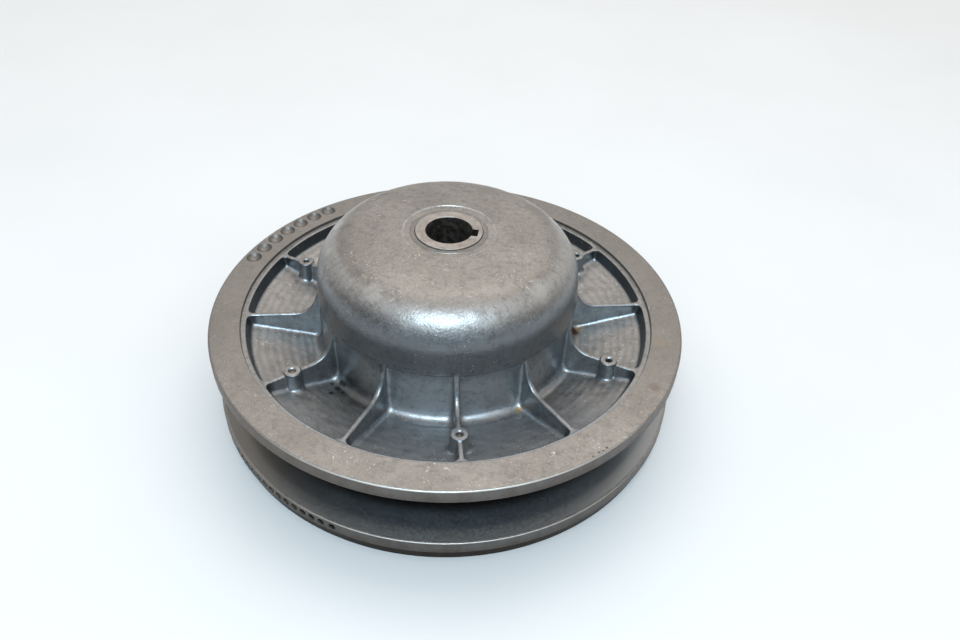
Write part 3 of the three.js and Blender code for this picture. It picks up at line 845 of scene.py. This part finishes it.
def fixed_stains():
    """Where oil, rust and dirt have gathered on the fixed sheave."""
    floor = fixed_floor(77) + 1
    stains = [
        # at the foot of the hub
        (75.5, -1.5, floor, 4.2, RUST, 0.95),
        (79, 0.2, floor, 3.5, AMBER, 0.5),
        (76.8, -60, floor, 2.8, AMBER, 0.9),
        # the dirty pocket and its corner
        (74, 222, floor + 8, 15, SOOT, 0.4),
        (75.5, 224, floor, 8, SOOT, 0.75),
        (75.5, 232, floor, 8, SOOT, 0.75),
        (75.5, 239, floor, 7, SOOT, 0.75),
        (74.5, 219.7, floor - 0.6, 2.6, GRIME_AND_SHADE, 0.95),
        (74.1, 221.5, floor - 0.4, 2.2, GRIME_AND_SHADE, 0.95),
        (78.4, 221.1, floor - 0.6, 2.4, GRIME_AND_SHADE, 0.9),
        (83.7, 222.2, floor + 0.6, 2.0, GRIME_AND_SHADE, 0.9),
        (78, 224.2, floor - 0.7, 1.5, GRIME_AND_SHADE, 0.9),
        (78.9, 217.6, floor - 0.5, 1.4, GRIME_AND_SHADE, 0.8),
        (74, 243, HUB_TOP_Z - 2, 3.2, GRIME_AND_SHADE, 0.6),
        # patches and scuffs on the dome
        (58, 28, SHOULDER_Z + 22, 9, WARM_DARK, 0.8),
        (58, 52, SHOULDER_Z + 22, 7, WARM_DARK, 0.7),
        (50, 66, SHOULDER_Z + 24, 8, WARM_DARK, 0.7),
        (64, 20, SHOULDER_Z + 18, 6, SCUFF, 0.35),
        (62, 168, SHOULDER_Z + 19, 5, SCUFF, 0.5),
        (64, 188, SHOULDER_Z + 17, 4, SCUFF, 0.5),
        (60, 232, SHOULDER_Z + 20, 7, SCUFF, 0.35),
        (62, 318, SHOULDER_Z + 18, 8, SCUFF, 0.3),
        # specks on the rim
        (122, -14, RIM_Z, 5, AMBER, 0.25),
        (127, -31, RIM_Z, 4, RUST, 0.3),
        (132.3, -54, RIM_Z, 0.9, GRIME_AND_SHADE, 0.8),
        (132.6, -55.2, RIM_Z, 0.7, GRIME_AND_SHADE, 0.8),
        (132.2, -56.3, RIM_Z, 0.8, GRIME_AND_SHADE, 0.8),
        (132.7, -58, RIM_Z, 0.7, GRIME_AND_SHADE, 0.8),
    ]
    for i in BOSS_HOLE_DIRT:
        stains.append((BOSS_CIRCLE_R, RIB_ANGLE + 30 + 60 * i, BOSS_TOP - 1.8, 2.3, DIRT, 0.9))
    return stains


def outer_side(finish, outer):
    """Where a sheave's surface is the upright side of its outer band."""
    return finish.where(r=(outer - 0.35, outer - 0.1), up=(0.6, 0.25))


def tarnished(finish, top, bottom):
    """Colour of a turned outer band: dark, with painted shade making it darker and browner towards its lower
    edge, random darker patches, and a painted brown reflection on the left.
    """
    # painted shade: darker and browner towards the lower edge
    low = finish.where(z=(top, bottom, 0, 0.45))
    patch = finish.span(finish.noise(9, 5, 0.65, offset=51), 0.35, 0.7, 0, 0.6)
    colour = finish.mix(finish.math("ADD", low, patch), (0.15, 0.14, 0.132), (0.075, 0.055, 0.042))
    # painted brown reflection: browner on the left
    return finish.lay(colour, (0.115, 0.086, 0.062), finish.where(x=(0, -115, 0, 0.7)))


def edge_highlight(finish):
    """Where a painted highlight lies on a rounded upper edge: halfway round its fillet, and most at the
    front.
    """
    leaning = finish.times(finish.where(up=(0.93, 0.8)), finish.where(up=(0.3, 0.55)))
    return finish.times(leaning, finish.where(y=(-85, -130, 0.1, 0.85)))


def hub_tones(finish, colour, above, dome):
    """Tones of the hub: painted light making its wall paler in front, painted shade darkening the dome's
    lower part, and a painted highlight brightening its shoulder.
    """
    standing = finish.times(finish.where(r=(76.5, 75)), above)
    # painted light: the hub wall paler in front
    front = finish.where(z=(71, 60), y=(-54, -69))
    colour = finish.lay(colour, (0.44, 0.455, 0.47), standing, front, 0.7)
    # painted shade: the dome's lower part darker
    low = finish.times(finish.where(z=(62, 76)), finish.where(z=(95, 89)))
    colour = finish.lay(colour, (0.16, 0.168, 0.177), standing, low, 0.72)
    # painted highlight: the dome's shoulder brighter
    shoulder = finish.times(finish.where(up=(0.5, 0.7)), finish.where(up=(0.92, 0.8)))
    return finish.lay(colour, (0.45, 0.447, 0.44), dome, shoulder, 0.55)


def pocket_tones(finish, colour, above, rim, inside, stripe):
    """Tones of the balance dimples and the pockets' outer wall, both darkened with painted shade, of the
    striped floors, darker in front with painted shade, and of the line over the hub, painted shade with
    grime.
    """
    # painted shade inside the dimples in the rim land
    deep = finish.where(z=(RIM_Z - 0.1, RIM_Z - 0.9))
    dimpled = finish.times(finish.where(r=(121, 122.5)), finish.where(r=(FIXED_R - 1.5, FIXED_R - 2)))
    colour = finish.lay(colour, (0.10, 0.095, 0.09), deep, dimpled, above, 0.5)
    # painted shade on the steep walls at the pockets' outer ends
    wall = finish.where(r=(108, 111), up=(0.75, 0.4))
    colour = finish.lay(colour, (0.10, 0.112, 0.122), wall, above, finish.outside(rim), 0.85)
    colour = finish.lay(colour, (0.25, 0.246, 0.24), inside, 0.4)
    colour = finish.lay(colour, (0.15, 0.15, 0.152), inside, finish.span(stripe, -0.5, 1.0, 0, 0.33))
    # painted shade: the front pockets' floors darker and bluer
    colour = finish.lay(colour, (0.23, 0.242, 0.255), inside, finish.where(y=(-50, -85, 0, 0.6)))
    # painted shade with grime: a broken dark line along the dome's slight step over the hub wall
    away = finish.math("ABSOLUTE", finish.math("SUBTRACT", finish.z, HUB_TOP_Z + 1.8))
    line = finish.times(finish.span(away, 1.1, 0.3), finish.where(r=(76, 74)))
    return finish.lay(colour, GRIME_AND_SHADE, line, finish.span(finish.noise(3, 4, 0.7), 0.45, 0.65, 0, 0.55))


def post_ring_tones(finish, colour, above):
    """Tones round the post: a dark ring, and a painted highlight as a bright line at the edge of the machined
    spot.
    """
    ring = finish.where(r=(HUB_RING_R + 0.1, HUB_RING_R - 0.1))
    colour = finish.lay(colour, (0.17, 0.16, 0.15), ring, above, 0.7)
    # painted highlight: a bright line at the edge of the machined spot
    away = finish.math("ABSOLUTE", finish.math("SUBTRACT", finish.r, SPOT_R + 0.2))
    return finish.lay(colour, (0.60, 0.59, 0.57), finish.span(away, 0.45, 0.25), above, 0.4)


def rim_tones(finish, colour, above, rim):
    """Tones of the belt face under the rim, darkened with painted shade, of the rim's sides, darkened with
    painted shade away from the front, and of its outer band, with painted shade and a painted highlight on
    its edge.
    """
    side = outer_side(finish, FIXED_R)
    # painted shade on the belt face under the rim, darkest towards its outer edge
    underside_shade = finish.mix(finish.where(r=(94, 106)), (0.13, 0.128, 0.125), (0.032, 0.025, 0.02))
    colour = finish.lay(colour, underside_shade, finish.outside(above, side), 0.92)
    # painted shade: the rim land darker away from the front
    colour = finish.lay(colour, (0.17, 0.155, 0.14), rim, above, finish.where(y=(-115, -30, 0, 0.5)))
    # painted shade and a painted brown reflection on the outer band
    colour = finish.lay(colour, tarnished(finish, RIM_Z - 1.5, RIM_Z - BAND), side, 0.85)
    # painted highlight on the rim's rounded outer edge
    edge = finish.where(r=(FIXED_R - 1.1, FIXED_R - 0.7))
    return finish.lay(colour, EDGE_HIGHLIGHT, edge, edge_highlight(finish))


def fixed_alloy():
    """The fixed sheave: dusty dome and rim, walls darkened with painted shade, glossy rib flanks, stains
    where they collect, and painted light, shade and highlights on its hub and rim.
    """
    finish = Finish("fixed_alloy", Metallic=0.93)
    rim = finish.where(r=(RIM_INNER_R - 0.1, RIM_INNER_R + 0.3))
    slope = finish.math("MULTIPLY_ADD", finish.r, BELT_SLOPE, fixed_face(0))
    above = finish.span(finish.math("SUBTRACT", finish.z, slope), 0.2, 0.9)
    dome = finish.where(z=(HUB_TOP_Z, SHOULDER_Z + 8))
    crowned = finish.times(dome, finish.where(up=(0.3, 0.65)))
    level = finish.math("MAXIMUM", finish.where(up=(0.62, 0.97)), rim)
    settled = finish.times(finish.math("MAXIMUM", level, crowned), above)
    dull = finish.math("MAXIMUM", finish.where(up=(0.75, 0.98)), rim)
    inside = finish.times(finish.outside(rim, dome), finish.where(up=(0.6, 0.97)), above)
    stripe = finish.math("ADD", finish.r, finish.math("MULTIPLY", finish.noise(26, 3, offset=4), 7))
    stripe = finish.math("SINE", finish.math("MULTIPLY", stripe, 2 * math.pi / 4.3))

    colour, roughness = alloy_tones(finish, settled, dull)
    colour = hub_tones(finish, colour, above, dome)
    colour = pocket_tones(finish, colour, above, rim, inside, stripe)
    colour = post_ring_tones(finish, colour, above)
    colour = stained(finish, specks(finish, colour, amount=0.55), fixed_stains())
    finish.set("Base Color", rim_tones(finish, colour, above, rim))
    finish.set("Roughness", roughness)

    grain = finish.times(finish.noise(1.1, 4, 0.6), 0.6)
    grain = finish.math("ADD", grain, finish.times(finish.noise(4, 2), 0.4))
    grain = finish.times(grain, finish.span(dome, 0, 1, 1, 1.8))
    ripple = finish.times(inside, stripe, finish.where(y=(-45, -75, 0.22, 0.02)))
    normal = finish.bump(finish.math("ADD", grain, ripple), 0.15)
    finish.set("Normal", finish.bump(finish.times(turning_marks(finish), rim), 0.02, normal))
    return finish.material


def moving_alloy():
    """The moving sheave: polished belt face with painted shade deep in the groove, painted light further out
    and a painted brown reflection on the left; painted highlights on its edges; painted shade inside its
    balance holes and on its as-cast skirt, painted dark brown.
    """
    finish = Finish("moving_alloy", Metallic=0.93)
    band = finish.where(r=(MOVING_R - 1.6, MOVING_R - 1.0))
    colour, roughness = alloy_tones(finish, band, band)
    slope = finish.math("MULTIPLY_ADD", finish.r, -BELT_SLOPE, moving_face(0))
    face = finish.span(finish.math("SUBTRACT", finish.z, slope), -0.5, -0.2)
    face = finish.times(face, finish.outside(band))
    cloud = finish.span(finish.noise(20, 4), 0.3, 0.7)
    polished = finish.mix(cloud, (0.185, 0.205, 0.22), (0.15, 0.165, 0.176))
    # painted brown reflection: the belt face browner on the left
    polished = finish.lay(polished, (0.125, 0.103, 0.084), finish.where(x=(-30, -115, 0, 0.85)))
    colour = finish.lay(specks(finish, colour, 40, 0.25), polished, face, 0.97)
    # painted light: the outer part of the belt face lighter, least on the far left
    lit_outer_face = finish.where(r=(124.5, 128), x=(-115, -10, 0.15, 0.8))
    colour = finish.lay(colour, (0.30, 0.30, 0.295), face, lit_outer_face)
    # painted shade deep in the groove
    groove_shade = finish.times(finish.where(r=(121, 112)), finish.where(r=(92, 102)))
    colour = finish.lay(colour, (0.022, 0.018, 0.015), face, groove_shade, 0.95)
    # painted shade and a painted brown reflection on the outer band
    tarnish = tarnished(finish, MOVING_TOP - 1.5, MOVING_TOP - MOVING_BAND)
    colour = finish.lay(colour, tarnish, outer_side(finish, MOVING_R), 0.85)
    # painted shade inside the balance holes
    deep = finish.times(finish.where(r=(MOVING_R - 0.8, MOVING_R - 1.4)), finish.where(r=(118, 122)))
    drilled = finish.times(finish.where(z=(13.6, 13.2)), finish.where(z=(8.1, 8.5)))
    colour = finish.lay(colour, (0.016, 0.014, 0.013), deep, drilled, 0.9)
    # painted highlight on the band's rounded upper edge
    edge = finish.where(r=(MOVING_R - 1.2, MOVING_R - 0.9), z=(11, 13))
    colour = finish.lay(colour, EDGE_HIGHLIGHT, edge, edge_highlight(finish))
    # painted shade: the skirt under the band dark brown
    brown = finish.mix(finish.noise(6, 4), (0.02, 0.013, 0.009), (0.045, 0.03, 0.022))
    colour = finish.lay(colour, brown, finish.where(z=(8, 7.2), r=(125, 130)))
    finish.set("Base Color", colour)
    finish.set("Roughness", roughness)
    cast = finish.span(face, 0, 1, 1, 0.15)
    normal = finish.bump(finish.times(finish.noise(1.2, 4, 0.6), cast), 0.05)
    finish.set("Normal", finish.bump(finish.times(turning_marks(finish), cast), 0.02, normal))
    return finish.material


def plain_metal(name, colour, dark, roughness, size=3.0, depth=0.04, metallic=1.0):
    """A turned or pressed metal with light tarnish."""
    finish = Finish(name, Metallic=metallic)
    tarnish = finish.span(finish.noise(size * 3, 5, 0.6), 0.35, 0.7)
    finish.set("Base Color", specks(finish, finish.mix(tarnish, colour, dark), 60, 0.3))
    smooth, rough = roughness - 0.08, roughness + 0.12
    finish.set("Roughness", finish.span(finish.noise(size, 4), 0.25, 0.75, smooth, rough))
    finish.set("Normal", finish.bump(finish.noise(size * 0.4, 4, 0.6), depth))
    return finish.material


def plastic(name):
    """Moulded off-white nylon, smeared with grease."""
    finish = Finish(name, Metallic=0.0)
    smear = finish.span(finish.noise(9, 4, 0.6), 0.4, 0.75)
    colour = finish.mix(smear, (0.70, 0.66, 0.56), (0.42, 0.37, 0.29))
    finish.set("Base Color", specks(finish, colour, 80, 0.2))
    finish.set("Roughness", finish.span(smear, 0, 1, 0.5, 0.3))
    finish.set("Normal", finish.bump(finish.noise(1.5, 3, 0.6), 0.04))
    return finish.material


# ---- the pieces and what they stand for ----
def keep(piece, body, slot, material, *nodes):
    """Gives a finished piece its material and body, and hides the CAD nodes that it stands for. Its slot
    argument is not used.
    """
    piece.data.materials.clear()
    piece.data.materials.append(material)
    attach(piece, body)
    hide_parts(*nodes)
    return piece


def hub_post():
    """The post with its bore, keyway, key slot and the groove of its retaining ring."""
    clip = bottom_of("retaining_ring")
    piece = turned(
        "post",
        [
            (SHAFT_R, POST_BOTTOM, 0.5), (POST_R, POST_BOTTOM, 0.7), (POST_R, clip - 0.3), (17, clip - 0.3),
            (17, clip + 1.9), (POST_R, clip + 1.9), (POST_R, POST_TOP, 0.45), (SHAFT_R, POST_TOP, 0.5),
        ],
        192,
    )
    length = POST_TOP - POST_BOTTOM + 4
    middle = (POST_TOP + POST_BOTTOM) / 2
    keyway = block((KEYWAY_R - 5, KEY_WIDTH, length), around(KEYWAY_ANGLE, (KEYWAY_R + 5) / 2, 0, middle))
    slot = block((4, 5.6, 14.6), around(170, 18.3, 0, 17))
    return cut_out(piece, [keyway, slot])


def washer(name, node, inner, edge):
    """A fine ring in the place of a CAD ring, with rounded edges."""
    low, high, outer = bottom_of(node), top_of(node), radius_of(node)
    corners = [(inner, low, edge), (outer, low, edge), (outer, high, edge), (inner, high, edge)]
    return turned(name, corners, 144, 4)


def node_shape(node):
    """A copy of a CAD node's shape as a bmesh, its doubled points merged."""
    shape = bmesh.new()
    shape.from_mesh(frame["nodes"][node].data)
    bmesh.ops.remove_doubles(shape, verts=shape.verts, dist=0.01 * MM)
    return shape


def refined(name, node, edge):
    """A copy of a CAD node's shape with rounded edges."""
    shape = node_shape(node)
    bmesh.ops.dissolve_limit(shape, angle_limit=math.radians(1), verts=shape.verts, edges=shape.edges)
    piece = shape_piece(name, shape)
    bevel = piece.modifiers.new("edges", "BEVEL")
    bevel.width = edge * MM
    bevel.segments = 3
    bevel.limit_method = "ANGLE"
    bevel.angle_limit = math.radians(35)
    return creased(applied(piece), 50)


def cast_bracket():
    """The torque bracket as a casting: every edge and corner softened, with a slightly uneven skin."""
    piece = shape_piece("bracket_casting", node_shape("torque_bracket"))
    remesh = piece.modifiers.new("remesh", "REMESH")
    remesh.mode = "VOXEL"
    remesh.voxel_size = 0.75 * MM
    smooth = piece.modifiers.new("smooth", "SMOOTH")
    smooth.factor = 0.5
    smooth.iterations = 5
    applied(piece)
    roughened(piece, 8, 0.05, 5)
    return creased(piece, 60)


def socket_screw(name, head_r, head, thread_r, length, matrix):
    """A socket head screw along its own +Z, its head at the lower end, with a rolled thread."""
    edge = 0.12 * head_r
    profile = [(0, 0), (head_r - edge, 0), (head_r - edge / 4, edge / 3), (head_r, edge), (head_r, head)]
    profile += [(thread_r, head), (thread_r, head + 0.6)]
    pitch = thread_r / 2.8
    turns = int((length - head - 1.2) / pitch)
    for k in range(turns):
        low = head + 0.6 + k * pitch
        profile += [(thread_r * 0.84, low + pitch / 2), (thread_r, low + pitch)]
    profile += [(thread_r * 0.75, length), (0, length)]
    piece = shape_piece(name, spindle(profile, matrix))
    return cut_out(piece, [rod(head_r * 0.52, -1, head * 0.6, matrix, 6)])


def spring():
    """The round wire spring: closed end turns, five open ones, and a tang down into the bracket."""
    wire, coil, start = 2.6, 31.0, 30.0
    low, high = SPRING_SEAT_Z + wire, top_of("torsion_spring") - wire
    end_turn, active = 0.9, 5
    end_rise = end_turn * (2 * wire + 0.1)
    turns = np.linspace(0.02, active + 2 * end_turn, 520)
    knots = [0, end_turn, end_turn + active, active + 2 * end_turn]
    heights = [low, low + end_rise, high - end_rise, high]
    shifts = np.linspace(-0.06, 0.06, 7)
    blurred = sum(np.interp(turns + shift, knots, heights) for shift in shifts) / len(shifts)
    angle = np.radians(start) + turns * 2 * math.pi
    path = np.stack([coil * np.cos(angle), coil * np.sin(angle), blurred], -1)
    tang_heights = np.arange(bottom_of("torsion_spring") + 0.1, low - 2.2, 0.5)
    tang = np.array([[*polar(coil, start), z] for z in tang_heights])
    path = np.concatenate([tang, path[3:]])
    for _ in range(6):
        path[1:-1] = (path[:-2] + 2 * path[1:-1] + path[2:]) / 4
    ahead = np.gradient(path, axis=0)
    ahead /= norm(ahead, axis=1)[:, None]
    out = path * [1, 1, 0]
    out -= ahead * np.sum(out * ahead, axis=1)[:, None]
    out /= norm(out, axis=1)[:, None]
    across = np.cross(ahead, out)
    sides = 20
    turn = np.arange(sides) * 2 * math.pi / sides
    size = np.full(len(path), wire)
    size[[0, -1]] *= 0.8
    rings = path[:, None] + size[:, None, None] * (
        out[:, None] * np.cos(turn)[:, None] + across[:, None] * np.sin(turn)[:, None]
    )
    at = np.arange(len(path) * sides).reshape(-1, sides)
    beside = np.roll(at, -1, 1)
    faces = np.stack([at[:-1], beside[:-1], beside[1:], at[1:]], -1).reshape(-1, 4).tolist()
    faces += [at[0].tolist()[::-1], at[-1].tolist()]
    return mesh_piece("spring", rings.reshape(-1, 3), faces, 50)


fixed_material = fixed_alloy()
moving_material = moving_alloy()
cast_dark = plain_metal("bracket_alloy", (0.30, 0.30, 0.305), (0.16, 0.16, 0.165), 0.5, 4, 0.12, 0.9)
steel = plain_metal("tarnished_steel", (0.36, 0.33, 0.305), (0.27, 0.238, 0.212), 0.38)
zinc = plain_metal("zinc_plate", (0.62, 0.61, 0.56), (0.45, 0.43, 0.38), 0.32)
black_steel = plain_metal("black_oxide", (0.10, 0.105, 0.115), (0.055, 0.055, 0.06), 0.38)
bronze = plain_metal("bushing_bronze", (0.55, 0.37, 0.18), (0.38, 0.24, 0.11), 0.36)
nylon = plastic("moulded_nylon")

keep(fixed_sheave(), "fixed_half", "cast_alloy", fixed_material, "fixed_sheave")
keep(moving_sheave(), "moving_half", "cast_alloy", moving_material, "moving_sheave")
keep(hub_post(), "fixed_half", "post_steel", steel, "hub_post")
keep(cast_bracket(), "fixed_half", "dark_alloy", cast_dark, "torque_bracket")
keep(refined("cam", "cam_ring", 0.7), "moving_half", "dark_alloy", cast_dark, "cam_ring")
keep(refined("key", "bracket_key", 0.3), "fixed_half", "post_steel", steel, "bracket_key")
snap_ring = refined("snap_ring", "retaining_ring", 0.25)
keep(snap_ring, "fixed_half", "spring_steel", black_steel, "retaining_ring")

for name, node, inner, edge, body, slot, material in (
    ("bump_washer", "stop_washer", 18.8, 0.4, "fixed_half", "nylon", nylon),
    ("stack_washer", "end_washer", 18.8, 0.3, "fixed_half", "zinc_steel", zinc),
    ("slip_washer", "spring_thrust_washer", 26.2, 0.4, "spring_seat", "nylon", nylon),
    ("upper_bush", "upper_bushing", 18.7, 0.5, "moving_half", "bushing_bronze", bronze),
    ("lower_bush", "lower_bushing", 18.7, 0.5, "moving_half", "bushing_bronze", bronze),
):
    keep(washer(name, node, inner, edge), body, slot, material, node)

for i, angle in enumerate((90, 210, 330)):
    shoe = refined(f"shoe_{i + 1}", f"ramp_shoe_{i + 1}", 0.8)
    keep(shoe, "fixed_half", "nylon", nylon, f"ramp_shoe_{i + 1}")
    place = around(angle, 42.6, 0, 45.6) @ LYING
    screw = socket_screw(f"small_screw_{i + 1}", 2.9, 2.6, 1.5, 10.4, place)
    keep(screw, "fixed_half", "zinc_steel", zinc, f"shoe_screw_{i + 1}")

for i in range(6):
    low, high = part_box(f"cam_screw_{i + 1}")
    middle = (low + high) / 2 / MM
    place = Matrix.Translation((middle.x, middle.y, low.z / MM))
    screw = socket_screw(f"cap_screw_{i + 1}", 4.6, 4.0, 2.8, (high.z - low.z) / MM, place)
    keep(screw, "moving_half", "zinc_steel", zinc, f"cam_screw_{i + 1}")

coil = keep(spring(), "spring_seat", "spring_steel", black_steel, "torsion_spring")
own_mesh(coil)


# ---- floor, light and camera ----
def floor():
    """A plain pale table top."""
    half = 12
    mesh = bpy.data.meshes.new("floor")
    corners = [(x * half, y * half, 0) for x, y in ((-1, -1), (1, -1), (1, 1), (-1, 1))]
    mesh.from_pydata(corners, [], [(0, 1, 2, 3)])
    piece = linked("floor", mesh)
    finish = Finish("pale_floor", Roughness=0.6)
    finish.set("Base Color", finish.mix(finish.noise(160, 3), (0.71, 0.71, 0.71), (0.655, 0.652, 0.645)))
    mesh.materials.append(finish.material)


def softbox(name, place, aim, size, power, colour):
    """A rectangular area light that faces a point."""
    lamp = bpy.data.lights.new(name, "AREA")
    lamp.shape = "RECTANGLE"
    lamp.size, lamp.size_y = size
    lamp.energy = power
    lamp.color = colour
    stand = linked(name, lamp)
    stand.location = place
    stand.rotation_euler = (Vector(aim) - Vector(place)).to_track_quat("-Z", "Y").to_euler()


def world():
    """Soft light from above and behind, dim and bluish low in front of the pulley."""
    made = bpy.data.worlds.new("studio")
    bpy.context.scene.world = made
    nodes = Nodes(made)
    direction = nodes.node("ShaderNodeTexCoord").outputs["Generated"]
    up_and_back = (0.1, 0.45, 0.85)
    lean = nodes.node("ShaderNodeVectorMath", direction, up_and_back, operation="DOT_PRODUCT")
    dim, bright = (0.075, 0.095, 0.115), (1.0, 0.985, 0.965)
    light = nodes.mix(nodes.span(lean.outputs["Value"], -0.1, 0.6), dim, bright)
    nodes.put(nodes.tree.nodes["Background"].inputs["Color"], light)


def camera():
    """The camera: in front of the pulley and over it, looking 40 degrees down and a little to the right."""
    place = Vector((0, -364.5, 352.9)) * MM
    pitch, yaw, roll = 0.6994, 0.0521, 0.048
    forward = Vector((math.sin(yaw) * math.cos(pitch), math.cos(yaw) * math.cos(pitch), -math.sin(pitch)))
    right = Vector((math.cos(yaw), -math.sin(yaw), 0))
    up = right.cross(forward)
    side = math.cos(roll) * right + math.sin(roll) * up
    top = math.cos(roll) * up - math.sin(roll) * right
    data = bpy.data.cameras.new("camera")
    data.sensor_width = 36
    data.lens = 30.31875
    data.clip_start = 0.01
    seer = linked("camera", data)
    seer.matrix_world = Matrix.Translation(place) @ Matrix((side, top, -forward)).transposed().to_4x4()
    bpy.context.scene.camera = seer


floor()
world()
softbox("window", (-0.05, -1.0, 1.2), (0, 0, 0.08), (0.65, 0.45), 13, (0.62, 0.84, 1.0))
softbox("sky", (0, -1.3, 0.95), (0, 0, 0.08), (2.6, 0.9), 8, (0.7, 0.87, 1.0))
softbox("ceiling", (0.1, 0.7, 1.5), (0, 0, 0), (1.4, 1.0), 8, (1.0, 0.98, 0.96))
camera()
bpy.context.scene.view_settings.view_transform = "Standard"
